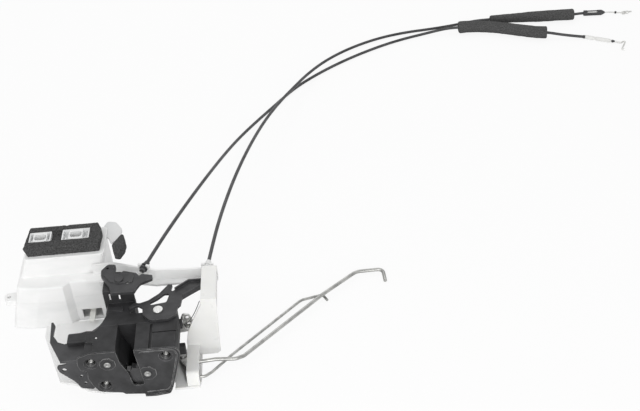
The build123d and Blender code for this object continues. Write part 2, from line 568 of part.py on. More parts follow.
# ------------------------------------------------------------------ open lever
def open_lever():
    lever = plate_z(((-1.8, 62.4, 0.8), (4.2, 68.4, 1.5), (9.4, 67.0, 3), (18.1, 70.2, 4), (28.9, 79.2, 6),
                     (38.4, 92.8, 1), (42.6, 91.6, 1), (41.2, 84, 1), (43, 81.2, 1), (59.8, 94.6, 3), (88, 93.6, 2),
                     (88, 84.2, 2), (71.2, 82.4, 3), (53.6, 69.6, 3), (52.5, 60, 1), (49.6, 56.6, 2), (48.4, 46, 3),
                     (41, 40, 6), (22, 40, 8), (13.5, 50, 5), (12.6, 60.2, 3), (7.4, 64.2, 3), (-0.2, 60.6, 0.8)),
                    LEVER_LOW, LEVER_HIGH)
    lever -= plate_z(((40.6, 78.4, 2.4), (34.6, 78.6, 2.4), (27.5, 71.5, 3), (19.4, 66.4, 1.6), (21.4, 62.8, 1.6),
                      (37.4, 65.2, 2.4)), LEVER_LOW - 1, LEVER_HIGH + 1)
    # turned-up edges make the long arm a channel
    lever += plate_z(((45.4, 83.1), (59.8, 94.6, 3), (84, 94.2), (84, 93), (60.4, 93.2, 2), (46.3, 82)),
                     LEVER_HIGH, LEVER_HIGH + CHANNEL_EDGE)
    lever += plate_z(((55, 70.7), (71.2, 82.4, 3), (84, 84.6), (84, 86), (70.6, 83.8, 3), (54.2, 71.9)),
                     LEVER_HIGH, LEVER_HIGH + CHANNEL_EDGE)
    # finger that reaches down to the slide
    lever += block(FINGER_X, FINGER_X + 2.6, 68.5, 71.5, SLIDE_TOP - 8.5, LEVER_HIGH)
    lever -= post_z(*OPEN_PIVOT, JOURNAL_R + RUNNING_FIT, LEVER_LOW - 1, LEVER_HIGH + 1)
    # slot for the pin of the open cable
    (ax, ay), (bx, by) = OPEN_SLOT
    reach = OPEN_WIRE_PIN_R + 0.4
    lever -= plate_z(((ax - reach, ay - reach, 1.8), (bx + reach, by - reach, 1.8), (bx + reach, by + reach, 1.8),
                      (ax - reach, ay + reach, 1.8)), LEVER_LOW - 1, LEVER_HIGH + 1)
    return lever


nodes["open_lever"] = open_lever()


def headed_pin(centre, radius, head, low, seat, thick):
    """A pin along Z whose head sits on top of a lever, above the running gap."""
    x, y = centre
    pin = post_z(x, y, radius, low, seat)
    cap = post_z(x, y, head, seat, seat + thick)
    cap = fillet(cap.edges().filter_by(GeomType.CIRCLE).sort_by(Axis.Z)[-1], thick * 0.4)
    return pin + cap


nodes["open_lever_rivet"] = headed_pin(OPEN_PIVOT, JOURNAL_R, 5.2, MODULE_TOP - 12, LEVER_HIGH + 0.2, 1.6)

# ------------------------------------------------------------------ inside lever
def inside_lever():
    lever = plate_z(((-25, 113, 5), (-31.2, 104, 4), (-30.6, 95, 3), (-20.9, 78, 2), (-19.2, 73.4, 1), (-17.9, 67.2, 2),
                     (6.5, 66.6, 2), (8.2, 71.6, 2), (12, 78.8, 4), (24.2, 84.6, 1.5), (24.2, 90, 1.5), (12.6, 93.4, 1),
                     (10.2, 90.6, 1), (6.4, 95.6, 1.5), (-7.2, 100.6, 1.5), (-10.6, 97.2, 1.5), (-14.4, 97.4, 1.5),
                     (-16, 103.5, 3), (-16, 111.5, 3)), INSIDE_LOW, INSIDE_HIGH)
    # a step runs round the lobe and along the lever
    step = plate_z(((-23.6, 110.8, 3), (-28, 104, 3), (-27.6, 96, 3), (-20, 84, 3), (-9, 80.5, 3), (4, 80.5, 3),
                    (4, 94, 2), (-8, 95, 2), (-16.5, 94.5, 2), (-18.2, 103, 2), (-18.2, 109.6, 2)),
                   INSIDE_HIGH, INSIDE_HIGH + 1.2)
    lever += step
    lever -= post_z(-24.2, 105.6, 1.8, INSIDE_LOW - 1, INSIDE_HIGH + 3)
    lever -= post_z(*INSIDE_PIVOT, INSIDE_PIN_R + RUNNING_FIT, INSIDE_LOW - 1, INSIDE_HIGH + 3)
    lever -= aimed(post_z(0, -INSIDE_WIRE_REACH, BARREL_PIN_R, INSIDE_LOW - 1, INSIDE_HIGH + 3), INSIDE_SEAT, INSIDE_AIM)
    return lever


nodes["inside_lever"] = inside_lever()
nodes["inside_lever_pin"] = headed_pin(INSIDE_PIVOT, INSIDE_PIN_R, 4.6, NECK_TOP - NECK_T - 8, INSIDE_HIGH + 1.4, 1.4)

# ------------------------------------------------------------------ rod levers at the right side
def rod_lever(end, low, rod_radius):
    high = low + ROD_LEVER_T
    sx, sy = ROD_PIVOT
    ex, ey = end
    angle = degrees(atan2(ey - sy, ex - sx))
    corners = [polar(ROD_PIVOT, LEVER_ROOT_R, angle + 90), polar(ROD_PIVOT, LEVER_ROOT_R, angle - 90),
               polar(end, LEVER_END_R, angle - 90), polar(end, LEVER_END_R, angle + 90)]
    lever = plate_z(corners, low, high)
    lever += post_z(sx, sy, LEVER_ROOT_R, low, high)
    lever += post_z(ex, ey, LEVER_END_R, low, high)
    lever -= post_z(sx, sy, ROD_PIN_R + RUNNING_FIT, low - 1, high + 1)
    lever -= post_z(ex, ey, rod_radius + RUNNING_FIT, low - 1, high + 1)
    return lever


nodes["key_lever"] = rod_lever(KEY_END, KEY_LEVER_Z, ROD_R_KEY)
nodes["outside_lever"] = rod_lever(OUTSIDE_END, OUTSIDE_LEVER_Z, ROD_R_OUTSIDE)

rod_pin = headed_pin(ROD_PIVOT, ROD_PIN_R, 4.8, TRAY_T, OUTSIDE_LEVER_Z + ROD_LEVER_T + 0.2, 1.4)
rod_pin += post_z(*ROD_PIVOT, 4.6, KEY_LEVER_Z + ROD_LEVER_T + 0.2, OUTSIDE_LEVER_Z - 0.2)
rod_pin += post_z(*ROD_PIVOT, 4.6, TRAY_T, KEY_LEVER_Z - 0.2)
nodes["rod_lever_pin"] = rod_pin


KEY_ROD_Z = KEY_LEVER_Z + ROD_LEVER_T + 0.4 + ROD_R_KEY
OUTSIDE_ROD_Z = OUTSIDE_LEVER_Z + ROD_LEVER_T + 0.4 + ROD_R_OUTSIDE
KEY_ROD_ROUTE = ((*KEY_END, KEY_LEVER_Z - 0.9), (*KEY_END, KEY_ROD_Z), (71.5, 12.6, KEY_ROD_Z), (78.5, 18.5, 7.2),
                 (99.5, 42.5, 6), (175.8, 120.0, 3.2), (200, 126.5, 2.4), (204.8, 117.5, 2.0))
OUTSIDE_ROD_ROUTE = ((*OUTSIDE_END, OUTSIDE_LEVER_Z - 1.2), (*OUTSIDE_END, OUTSIDE_ROD_Z), (83.1, 30.5, OUTSIDE_ROD_Z),
                     (103.8, 29.3, 12.6), (112.5, 33.6, 11.6), (200.5, 121.9, 7.6), (240.2, 156.7, 5.4),
                     (270.8, 159.6, 3.4), (272, 141, 2.2))

rod_bend = {"key": [2.2, 6, 6, 12, 14, 4], "outside": [2.8, 40, 10, 12, 60, 16, 6]}
nodes["key_rod"] = tube(KEY_ROD_ROUTE, ROD_R_KEY, rod_bend["key"])
nodes["outside_rod"] = tube(OUTSIDE_ROD_ROUTE, ROD_R_OUTSIDE, rod_bend["outside"])

# ------------------------------------------------------------------ case: tub, cover and tray
def case_form(inset, low, high):
    """The case between two heights, shrunk by inset; its left wall leans in and its front steps back."""
    bevel = (sqrt(2) - 1) * inset
    front, right, back = CASE_FRONT + inset, CASE_RIGHT - inset, CASE_BACK - inset

    def section(height):
        left = CASE_LEFT + inset + CASE_LEAN * height / CASE_TOP
        return Pos(0, 0, height) * outline((
            (left, front + 4, 5 - inset), (left + 26, front, 8), (NOTCH_LEFT - bevel, front, 2),
            (NOTCH_LEFT + NOTCH_DEPTH - bevel, front + NOTCH_DEPTH, 2), (right, front + NOTCH_DEPTH, 4 - inset),
            (right, back, 8 - inset), (left, back, 10 - inset)))

    return loft([section(low), section(high)])


TRAY = ((-108, 118), (-108, 98, 4), (-91, 50, 4), (-83, 28, 4), (-66, 23, 4), (-50, 12, 4), (-34, 8, 4), (-14, 8, 3),
        (-14, 15, 3), (40, 15), (40, 8, 2), (67, 8, 3), (67, 54, 3), (40, 62, 4), (0, 70, 4), (-40, 118, 4))
WHEEL_CENTRE = (SECTOR_PIVOT[0] - (PINION_TEETH + SECTOR_TEETH) * PINION_MODULE / 2, SECTOR_PIVOT[1])
WORM_R = 4.0
WORM_Y = WHEEL_CENTRE[1] + WHEEL_TEETH * WHEEL_MODULE / 2 + 0.9 * WHEEL_MODULE + WORM_R + 0.2


def actuator_housing():
    tub = case_form(0, 0, CASE_SPLIT) - case_form(WALL, TRAY_T, CASE_SPLIT + 1)
    tub += plate_z(TRAY, 0, TRAY_T)
    face = CASE_FRONT + NOTCH_DEPTH
    tub -= block(WINDOW[0], WINDOW[1], face - 2, face + WALL + 1, WINDOW[2], WINDOW[3])
    for x, y in (SECTOR_PIVOT, WHEEL_CENTRE):
        tub += post_z(x, y, 4.5, TRAY_T, 10)
        tub -= post_z(x, y, 2.0, TRAY_T + 1, 11)
    # cradle of the motor
    for x in (MOTOR_LEFT + 3, MOTOR_LEFT + MOTOR_LENGTH - 5):
        rib = block(x - 1, x + 1, WORM_Y - 14, WORM_Y + 14, TRAY_T, GEAR_PLANE - 2)
        tub += rib - post_x(WORM_Y, GEAR_PLANE, MOTOR_R + 0.05, x - 2, x + 2)
    tub += case_ear() - case_form(0.5, 0, CASE_SPLIT + 1)
    return tub


def case_ear():
    """Screw ear at the rim of the tub."""
    x, y = EAR_CENTRE
    low, high = CASE_SPLIT - 8, CASE_SPLIT
    ear = plate_z(((x - 5, y - 5.5, 4.5), (CASE_LEFT + CASE_LEAN, y - 7), (CASE_LEFT + CASE_LEAN, y + 7),
                   (x - 5, y + 5.5, 4.5)), low, high)
    return ear - post_z(x, y, 2.2, low - 1, high + 1)


nodes["actuator_housing"] = actuator_housing()


def tower_form(inset, low, high):
    def section(height):
        share = (height - CASE_TOP) / (TOWER_TOP - CASE_TOP)
        left = TOWER_FOOT[0] + (TOWER[0] - TOWER_FOOT[0]) * share + inset
        right = TOWER_FOOT[1] + (TOWER[1] - TOWER_FOOT[1]) * share - inset
        front, back = TOWER[2] + inset, TOWER[3] - inset
        return Pos(0, 0, height) * outline(((left, front, 4 - inset), (right, front, 4 - inset),
                                            (right, back, 4 - inset), (left, back, 4 - inset)))

    return loft([section(low), section(high)])


def actuator_cover():
    lid = case_form(0, CASE_SPLIT, CASE_TOP)
    cover = fillet(lid.edges().group_by(Axis.Z)[-1], 2.0) - case_form(WALL, CASE_SPLIT - 1, CASE_TOP - WALL)
    tower = tower_form(0, CASE_TOP - 0.5, TOWER_TOP)
    cover += fillet(tower.edges().group_by(Axis.Z)[-1], 1.0)
    cover -= tower_form(WALL, CASE_TOP, TOWER_TOP - WALL)
    for pocket in SOCKETS:
        cover -= block(*pocket, TOWER_TOP - WALL - 1, TOWER_TOP + 1)
    return cover


nodes["actuator_cover"] = actuator_cover()


def connector_shroud(left, right, front, back):
    """Socket with a rounded well for its pins in the middle and a keyed pocket on each side of it."""
    low = TOWER_TOP - WALL - 8
    high = TOWER_TOP + FOAM_T - 1.5
    x, y = (left + right) / 2, (front + back) / 2
    shroud = block(left - 1.5, right + 1.5, front - 1.5, back + 1.5, low, TOWER_TOP - WALL)
    shroud += block(left, right, front, back, TOWER_TOP - WALL, high)
    shroud -= plate_z(((x - WELL[0], y - WELL[1], 3), (x + WELL[0], y - WELL[1], 3), (x + WELL[0], y + WELL[1], 3),
                       (x - WELL[0], y + WELL[1], 3)), low + 2, high + 1)
    for start, end in ((left + 1.4, x - WELL[0] - 1.2), (x + WELL[0] + 1.2, right - 1.4)):
        key = (start + end) / 2
        shroud -= block(start, end, front + 1.4, back - 1.4, high - 7, high + 1)
        shroud += block(key - 0.6, key + 0.6, front + 1, front + 5, high - 7.5, high - 1)
    return shroud


nodes["connector_shrouds"] = Compound(children=[connector_shroud(*s) for s in SOCKETS])


def terminals(left, right, front, back):
    """Two rows of flat pins that stand in the floor of the well."""
    x, y = (left + right) / 2, (front + back) / 2
    pins = []
    for row in (y - 1.8, y + 1.8):
        for k in range(4):
            place = x + (k - 1.5) * 2.6
            pins.append(block(place - 0.5, place + 0.5, row - 0.3, row + 0.3, TOWER_TOP - WALL - 6, TOWER_TOP + 2))
    return pins


nodes["connector_terminals"] = Compound(children=[p for s in SOCKETS for p in terminals(*s)])


def connector_foam():
    """Gasket block round both sockets; its sides lean and its right end is cut off at an angle."""
    left, right, front, back = FOAM

    def layer(height, lean):
        return Pos(0, 0, height) * outline((
            (left + lean, front, 2), (right - 0.5 * lean, front, 2), (right, back - 11, 1.5),
            (right - 4.5, back, 1.5), (-72, back, 1), (-74, back - 1.2, 1), (-76, back, 1), (left + 3.5 + lean, back, 2)))

    foam = loft([layer(TOWER_TOP, FOAM_LEAN), layer(TOWER_TOP + FOAM_T, 0)])
    for sl, sr, sf, sb in SOCKETS:
        foam -= block(sl - GAP, sr + GAP, sf - GAP, sb + GAP, TOWER_TOP - 1, TOWER_TOP + FOAM_T + 1)
    # the bridge between the sockets is lower than the rim
    foam -= block(SOCKETS[0][1], SOCKETS[1][0], SOCKETS[1][2], SOCKETS[0][3], TOWER_TOP + BRIDGE_T,
                  TOWER_TOP + FOAM_T + 1)
    return foam


nodes["connector_foam"] = connector_foam()

# ------------------------------------------------------------------ motor, gears and switch in the case
motor = post_x(WORM_Y, GEAR_PLANE, MOTOR_R, MOTOR_LEFT, MOTOR_LEFT + MOTOR_LENGTH)
motor += post_x(WORM_Y, GEAR_PLANE, 4.5, MOTOR_LEFT + MOTOR_LENGTH, MOTOR_LEFT + MOTOR_LENGTH + 2)
motor -= post_x(WORM_Y, GEAR_PLANE, WORM_SHAFT_R + RUNNING_FIT, MOTOR_LEFT + MOTOR_LENGTH - 8,
                MOTOR_LEFT + MOTOR_LENGTH + 3)
nodes["motor"] = motor


def worm():
    left = MOTOR_LEFT + MOTOR_LENGTH + 2.5
    shaft = post_x(WORM_Y, GEAR_PLANE, WORM_SHAFT_R, left - 9, left + 31)
    shaft += post_x(WORM_Y, GEAR_PLANE, WORM_R - 1.6, left, left + 26)
    pitch = pi * WHEEL_MODULE
    for k in range(5):
        ring = Pos(left + 7 + pitch * k, WORM_Y, GEAR_PLANE) * Rot(0, 90, 0) * Cylinder(WORM_R, 1.1)
        shaft += ring
    return shaft


nodes["worm"] = worm()


def worm_wheel():
    wheel = plate_z([(p[0], p[1]) for p in gear_outline(WHEEL_TEETH, WHEEL_MODULE)], GEAR_PLANE - 3, GEAR_PLANE + 3)
    wheel += plate_z([(p[0], p[1]) for p in gear_outline(PINION_TEETH, PINION_MODULE)], GEAR_PLANE + 3,
                     GEAR_PLANE + 10)
    wheel -= post_z(0, 0, 2.0 + RUNNING_FIT, GEAR_PLANE - 5, GEAR_PLANE + 12)
    return Pos(*WHEEL_CENTRE, 0) * wheel


nodes["worm_wheel"] = worm_wheel()
nodes["wheel_pin"] = post_z(*WHEEL_CENTRE, 2.0, TRAY_T + 1, GEAR_PLANE + 14)


def lock_sector():
    low, high = GEAR_PLANE + 4, GEAR_PLANE + 8
    teeth = gear_outline(SECTOR_TEETH, PINION_MODULE)
    gear = plate_z(teeth, low, high)
    keep = [(0, 0)] + [polar((0, 0), 45, a) for a in (154, 168, 180, 192, 206)]
    gear &= plate_z(keep, low, high)
    gear += post_z(0, 0, 6, low, high)
    gear -= post_z(0, 0, 2.0 + RUNNING_FIT, low - 1, high + 1)
    gear = Rot(0, 0, 360 / SECTOR_TEETH / 2) * gear
    # the arm drops from the hub to the window and leaves the case there
    arm = plate_x(((-6, low), (-6, high), (-11, high, 2), (-15, LOCK_ARM_Z + 3, 2), (-32, LOCK_ARM_Z + 3, 1),
                   (-32, LOCK_ARM_Z, 1), (-13, LOCK_ARM_Z, 2)), -3, 3)
    gear += arm & plate_z(((-3, 0), (-3, -33, 2.5), (3, -33, 2.5), (3, 0)), 0, high)
    gear += block(-3, 3, -7, -5, low, high)
    return Pos(*SECTOR_PIVOT, 0) * gear


nodes["lock_sector"] = lock_sector()
nodes["sector_pin"] = post_z(*SECTOR_PIVOT, 2.0, TRAY_T + 1, GEAR_PLANE + 14)
nodes["position_switch"] = block(-58, -44, 160, 172, TRAY_T, 14) + block(-53, -49, 157, 160, 9, 12)

# ------------------------------------------------------------------ cable bracket and shield
def cable_bracket():
    floor = plate_z(((-54, 118), (-24, 116, 3), (2, 108, 3), (24, 102.5, 3), (90, 102.5, 2), (90, 110.5, 2),
                     (60, 110.5, 8), (24, 113.6, 8), (-1, 122.8, 4), (-22, 131, 4), (-54, 131, 2)), BRACKET_Z,
                    BRACKET_Z + BRACKET_WALL)
    wall = plate_z(((-46, 128.5), (-22.5, 128.5, 4), (-1.5, 120.3, 1), (23.5, 111.1, 4), (60, 108, 8), (90, 108),
                    (90, 110.5), (60, 110.5, 10), (24, 113.6, 4), (-1, 122.8, 1), (-22, 131, 4), (-46, 131)),
                   BRACKET_Z + BRACKET_WALL, CABLE_Z - 1)
    bracket = floor + wall
    # seats of the two cable ends, open at the top so that the ends snap in
    for seat, aim in ((INSIDE_SEAT, INSIDE_AIM), (OPEN_SEAT, OPEN_AIM)):
        bracket += aimed(block(-6.5, 6.5, -BRACKET_WALL, 0, BRACKET_Z + BRACKET_WALL, CABLE_Z + 4.2), seat, aim)
        bracket -= aimed(block(-7, 7, 0, 3, BRACKET_Z + BRACKET_WALL, CABLE_Z + 6), seat, aim)
        bracket -= aimed(block(-7, 7, -BRACKET_WALL - 3, -BRACKET_WALL, BRACKET_Z + BRACKET_WALL, CABLE_Z + 6),
                         seat, aim)
        bracket -= aimed(post_y(0, CABLE_Z, FERRULE_R + RUNNING_FIT, -10, 5), seat, aim)
        bracket -= aimed(block(-FERRULE_R + 0.5, FERRULE_R - 0.5, -10, 5, CABLE_Z, CABLE_Z + 6), seat, aim)
    return bracket


nodes["cable_bracket"] = cable_bracket()


def ferrule(seat, aim, nose):
    """The end of a cable's jacket: a bush in the bracket with a collar each side and a cone behind."""
    bush = post_y(0, CABLE_Z, FERRULE_R, FERRULE_FRONT, 1)
    bush += post_y(0, CABLE_Z, FERRULE_COLLAR_R, -BRACKET_WALL - 1.4, -BRACKET_WALL)
    bush += post_y(0, CABLE_Z, FERRULE_COLLAR_R, 0, 1.5)
    bush += cone_y(0, CABLE_Z, nose, CONDUIT_R + 0.8, 1.5, FERRULE_BACK)
    bush -= post_y(0, CABLE_Z, WIRE_R + 0.4, FERRULE_FRONT - 1, FERRULE_BACK - 1)
    return aimed(bush, seat, aim)


nodes["inside_cable_ferrule"] = ferrule(INSIDE_SEAT, INSIDE_AIM, 3.6)
nodes["open_cable_ferrule"] = ferrule(OPEN_SEAT, OPEN_AIM, 4.4)


def cable_barrel():
    """The barrel on the inside cable's wire, with its pin in the lever."""
    barrel = post_z(0, -INSIDE_WIRE_REACH, BARREL_R, CABLE_Z - 3, INSIDE_LOW)
    barrel += post_z(0, -INSIDE_WIRE_REACH, BARREL_PIN_R - RUNNING_FIT, INSIDE_LOW, INSIDE_HIGH)
    return aimed(barrel, INSIDE_SEAT, INSIDE_AIM)


nodes["cable_barrel"] = cable_barrel()
nodes["inside_cable_wire"] = aimed(post_y(0, CABLE_Z, WIRE_R, BARREL_R + GAP - INSIDE_WIRE_REACH, 0),
                                   INSIDE_SEAT, INSIDE_AIM)


def open_cable_wire():
    pin = post_z(0, -OPEN_WIRE_REACH, OPEN_WIRE_PIN_R, LEVER_LOW - 1.5, CABLE_Z + 2)
    pin += post_z(0, -OPEN_WIRE_REACH, OPEN_WIRE_PIN_R + 1.4, LEVER_LOW - 1.5, LEVER_LOW - GAP)
    pin += post_y(0, CABLE_Z, WIRE_R, -OPEN_WIRE_REACH, -4)
    return aimed(pin, OPEN_SEAT, OPEN_AIM)


nodes["open_cable_wire"] = open_cable_wire()


def water_shield():
    wall = plate_y(((75, SHIELD_TOP, 2), (74, SHIELD_TOP - 7.5), (64, 54), (56.5, 38), (53, 22), (53, TRAY_T),
                    (84, TRAY_T, 3), (87, 6), (SHIELD_RIGHT, SHIELD_TOP, 2)), *SHIELD_Y)
    roof = plate_z(((75, SHIELD_Y[0]), (SHIELD_RIGHT, SHIELD_Y[0]), (SHIELD_RIGHT, 102.2, 4), (75, 102.2, 3)),
                   SHIELD_TOP - 2, SHIELD_TOP)
    # the free side of the roof turns down and rests on the cable bracket's foot
    skirt = plate_x(((SHIELD_Y[0], SHIELD_TOP - 12), (96, SHIELD_TOP - 8, 4), (102, SHIELD_TOP, 3),
                     (SHIELD_Y[0], SHIELD_TOP)), SHIELD_RIGHT - 2, SHIELD_RIGHT)
    # channel that covers the rods, standing on its foot
    skin = plate_x(((SHIELD_Y[0], 17.5), (10, 17.5, 4), (6, TRAY_T), (8, TRAY_T), (9.4, 15.5, 2),
                    (SHIELD_Y[0], 15.5)), 53, 66)
    foot = block(40, 66, 4.5, 8, 0, TRAY_T)
    return wall + roof + skirt + skin + foot


nodes["water_shield"] = water_shield()

# ------------------------------------------------------------------ small foam pad on its arm
PAD_TOP = TOWER_TOP + 8.0
PAD_FLOOR = PAD_TOP - FOAM_T


def pad_arm():
    """Flat arm that leaves the tower's side and carries the pad on its end."""
    arm = plate_z(((-36, 172), (-37, 183), (-33, 192.6, 3), (-23.3, 189.9, 5), (-15.7, 177.2, 5), (-16.7, 167.3, 6),
                   (-11.5, 155, 2), (-13.5, 147.5, 1.5), (-17.5, 147.5, 1.5), (-21, 157, 2), (-26.6, 155.5, 2),
                   (-30, 164.7, 3), (-36, 168)), PAD_FLOOR - 3, PAD_FLOOR)
    return arm - tower_form(0, CASE_TOP, TOWER_TOP)


nodes["foam_pad"] = plate_z(((-11.5, 158.2, 2), (-17.6, 147, 6), (-22.1, 138, 2), (-18.9, 126.3, 2), (-13, 124.4, 2),
                             (-8.7, 134.5, 5), (-7.6, 144.1, 5)), PAD_FLOOR, PAD_TOP)
nodes["pad_arm"] = pad_arm()

# ------------------------------------------------------------------ cables
def aimed_point(distance, seat, angle):
    """The point that far behind the bracket on the axis of a cable's seat."""
    return (seat[0] + distance * sin(radians(angle)), seat[1] + distance * cos(radians(angle)), CABLE_Z)


# Points of the middle line of each jacket from its ferrule to its foam sleeve.
INSIDE_ROUTE = (aimed_point(FERRULE_BACK, INSIDE_SEAT, INSIDE_AIM), aimed_point(44, INSIDE_SEAT, INSIDE_AIM),
                (41, 196.7, 71.2), (55.6, 243.9, 63.4), (68.3, 290.9, 52.1), (80.2, 337.7, 39.1), (92.7, 384.3, 26),
                (108.1, 430.4, 14.4), (128.9, 475, 5.9), (155.2, 517.3, 2.1), (184.3, 558, 2.1), (221, 591.8, 2.1),
                (261.3, 621.4, 2.1), (304.9, 645.7, 2.1), (345, 662, 2.1), (386, 672.5, 3.4), (414.6, 677.6, 8.3),
                (434.3, 672.6, 8.3))
OPEN_ROUTE = (aimed_point(FERRULE_BACK, OPEN_SEAT, OPEN_AIM), aimed_point(46, OPEN_SEAT, OPEN_AIM),
              (93.1, 196.2, 72.7), (102, 245.2, 68.9), (111.8, 293.9, 63.2), (122.5, 342.2, 55.9), (134.3, 390.1, 47.6),
              (147.8, 437.4, 38.8), (164.2, 483.8, 29.9), (183.6, 529.1, 21.5), (204.8, 573.8, 14), (232.2, 615, 8),
              (268, 649.5, 3.8), (311.4, 674, 2.1), (355, 685, 2.1), (398, 688.4, 2.1), (436, 691.5, 5.2),
              (461, 697.3, 8.3), (484.7, 695.2, 8.3))

def bend_radii(route, share=0.45):
    """The largest arc that the two runs of each corner allow."""
    radii = []
    for before, here, after in zip(route, route[1:], route[2:]):
        first = Vector(*here) - Vector(*before)
        second = Vector(*after) - Vector(*here)
        turn = radians(first.get_angle(second))
        radii.append(share * min(first.length, second.length) / tan(turn / 2))
    return radii


def beyond(route, distance):
    """The point that far past a route's end, in the direction of its last run."""
    last, end = Vector(*route[-2]), Vector(*route[-1])
    return end + (end - last).normalized() * distance


def jacket(route):
    radii = bend_radii(route)
    print("bend radii", [round(r) for r in radii])
    return tube(route, CONDUIT_R, radii)


def foam_sleeve(route):
    """A foam sleeve round the jacket, lying where the jacket's last run points."""
    end = Vector(*route[-1])
    direction = (end - Vector(*route[-2])).normalized()
    return Plane(origin=end, z_dir=direction) * Pos(0, 0, SLEEVE_LENGTH / 2) * Cylinder(SLEEVE_R, SLEEVE_LENGTH)


nodes["inside_cable_jacket"] = jacket(INSIDE_ROUTE)
nodes["open_cable_jacket"] = jacket(OPEN_ROUTE)
nodes["inside_cable_sleeve"] = foam_sleeve(INSIDE_ROUTE)
nodes["open_cable_sleeve"] = foam_sleeve(OPEN_ROUTE)


def between(start, end, radius):
    start, end = Vector(*start), Vector(*end)
    length = (end - start).length
    return Plane(origin=start, z_dir=(end - start)) * Pos(0, 0, length / 2) * Cylinder(radius, length)


inside_tail = [beyond(INSIDE_ROUTE, SLEEVE_LENGTH), beyond(INSIDE_ROUTE, SLEEVE_LENGTH + 10),
               Vector(580, 633.6, 5.6), Vector(597, 630.2, 3.0), Vector(613, 626.6, 3.0)]
open_tail = [beyond(OPEN_ROUTE, SLEEVE_LENGTH), beyond(OPEN_ROUTE, SLEEVE_LENGTH + 7), Vector(627, 684.4, 6.0),
             Vector(634, 685.6, 3.6), Vector(641, 686.2, 3.6)]
nodes["inside_cable_tail"] = tube(inside_tail, CONDUIT_R, bend_radii(inside_tail))
nodes["open_cable_tail"] = tube(open_tail, CONDUIT_R, bend_radii(open_tail))


def inside_cable_end():
    """Bush, bare wire, collar and bent hook."""
    start = inside_tail[-1]
    bush = start + (start - inside_tail[-2]).normalized() * BUSH_LENGTH
    collar, collar_end = Vector(650, 610.4, 2.8), Vector(658, 607.6, 2.6)
    grip = between(start, bush, BUSH_R)
    grip += between(bush, collar, 1.1)
    grip += between(collar, collar_end, HOOK_COLLAR_R)
    grip += tube((collar_end, Vector(664, 606, 2.4), Vector(662, 586, 2.0)), HOOK_R, [3.4])
    return grip


def open_cable_end():
    """Clip, bare wire and crimp."""
    start = open_tail[-1]
    clip = start + (start - open_tail[-2]).normalized() * CLIP_LENGTH
    grip = between(start, clip, CLIP_R)
    grip += between(clip, Vector(684, 689.4, 2.8), 1.0)
    grip += between(Vector(683, 689.4, 2.8), Vector(699, 687.8, 2.8), CRIMP_R)
    return grip


nodes["inside_cable_end"] = inside_cable_end()
nodes["open_cable_end"] = open_cable_end()

CORD_NODES = ("inside_cable_jacket", "open_cable_jacket", "inside_cable_sleeve", "open_cable_sleeve",
              "inside_cable_tail", "open_cable_tail", "inside_cable_end", "open_cable_end")

# ------------------------------------------------------------------ origin and export
boxes = [solid.bounding_box() for name, solid in nodes.items() if name not in CORD_NODES]
low = [min(getattr(box.min, axis) for box in boxes) for axis in "XYZ"]
high = [max(getattr(box.max, axis) for box in boxes) for axis in "XYZ"]
SHIFT = (-(low[0] + high[0]) / 2, -(low[1] + high[1]) / 2, -low[2])
print("moved by", SHIFT)
os.makedirs("parts", exist_ok=True)
for name, solid in nodes.items():
    export_step(solid.moved(Location(SHIFT)), f"parts/{name}.step")
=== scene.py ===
from math import cos, pi, radians, sin

import bmesh
import bpy
from mathutils import Matrix, Vector, noise


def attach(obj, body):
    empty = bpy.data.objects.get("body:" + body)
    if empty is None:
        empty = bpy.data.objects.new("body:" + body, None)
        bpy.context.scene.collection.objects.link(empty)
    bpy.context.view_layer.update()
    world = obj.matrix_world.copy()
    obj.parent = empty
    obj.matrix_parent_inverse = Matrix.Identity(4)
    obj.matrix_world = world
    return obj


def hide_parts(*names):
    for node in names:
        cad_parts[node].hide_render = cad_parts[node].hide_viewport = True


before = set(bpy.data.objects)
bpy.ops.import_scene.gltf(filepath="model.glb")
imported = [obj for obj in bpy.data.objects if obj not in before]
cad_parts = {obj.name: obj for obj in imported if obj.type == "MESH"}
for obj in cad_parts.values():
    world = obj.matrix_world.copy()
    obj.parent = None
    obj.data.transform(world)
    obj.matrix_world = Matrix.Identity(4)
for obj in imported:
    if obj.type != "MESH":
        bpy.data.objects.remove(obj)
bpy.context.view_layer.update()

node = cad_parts

# ---------------------------------------------------------------- table, lamps and camera
# The latch lies on a white table under soft lamps, and is seen from its mounting face,
# a little from above.
LENS = 64.69
SENSOR_WIDTH = 36
NEAREST_SEEN = 0.01
DEPRESSION = radians(38.5)
ROLL = radians(5)
CAMERA_PLACE = Vector((0.14387, -0.9183, 0.88228))
LATCH_HEART = (0, 0, 0.04)     # where the lamps point
BACK_HEART = (0, 0.1, 0.04)
AMBIENT = 0.7
TABLE_REACH = 4.0
TABLE_DROP = 0.0003
TABLE_SHADE = 0.9
TABLE_ROUGHNESS = 0.9
TABLE_GLOW = 0.88              # share of the table's own white that the camera sees

forward = Vector((0, cos(DEPRESSION), -sin(DEPRESSION)))
level_up = Vector((0, sin(DEPRESSION), cos(DEPRESSION)))
level_right = Vector((1, 0, 0))
right = cos(ROLL) * level_right - sin(ROLL) * level_up
up = sin(ROLL) * level_right + cos(ROLL) * level_up
facing = Matrix((right, up, -forward)).transposed().to_4x4()
camera = bpy.data.objects.new("camera", bpy.data.cameras.new("camera"))
camera.data.lens = LENS
camera.data.sensor_width = SENSOR_WIDTH
camera.data.clip_start = NEAREST_SEEN
camera.matrix_world = Matrix.Translation(CAMERA_PLACE) @ facing
bpy.context.collection.objects.link(camera)
bpy.context.scene.camera = camera
bpy.context.scene.view_settings.view_transform = "Standard"


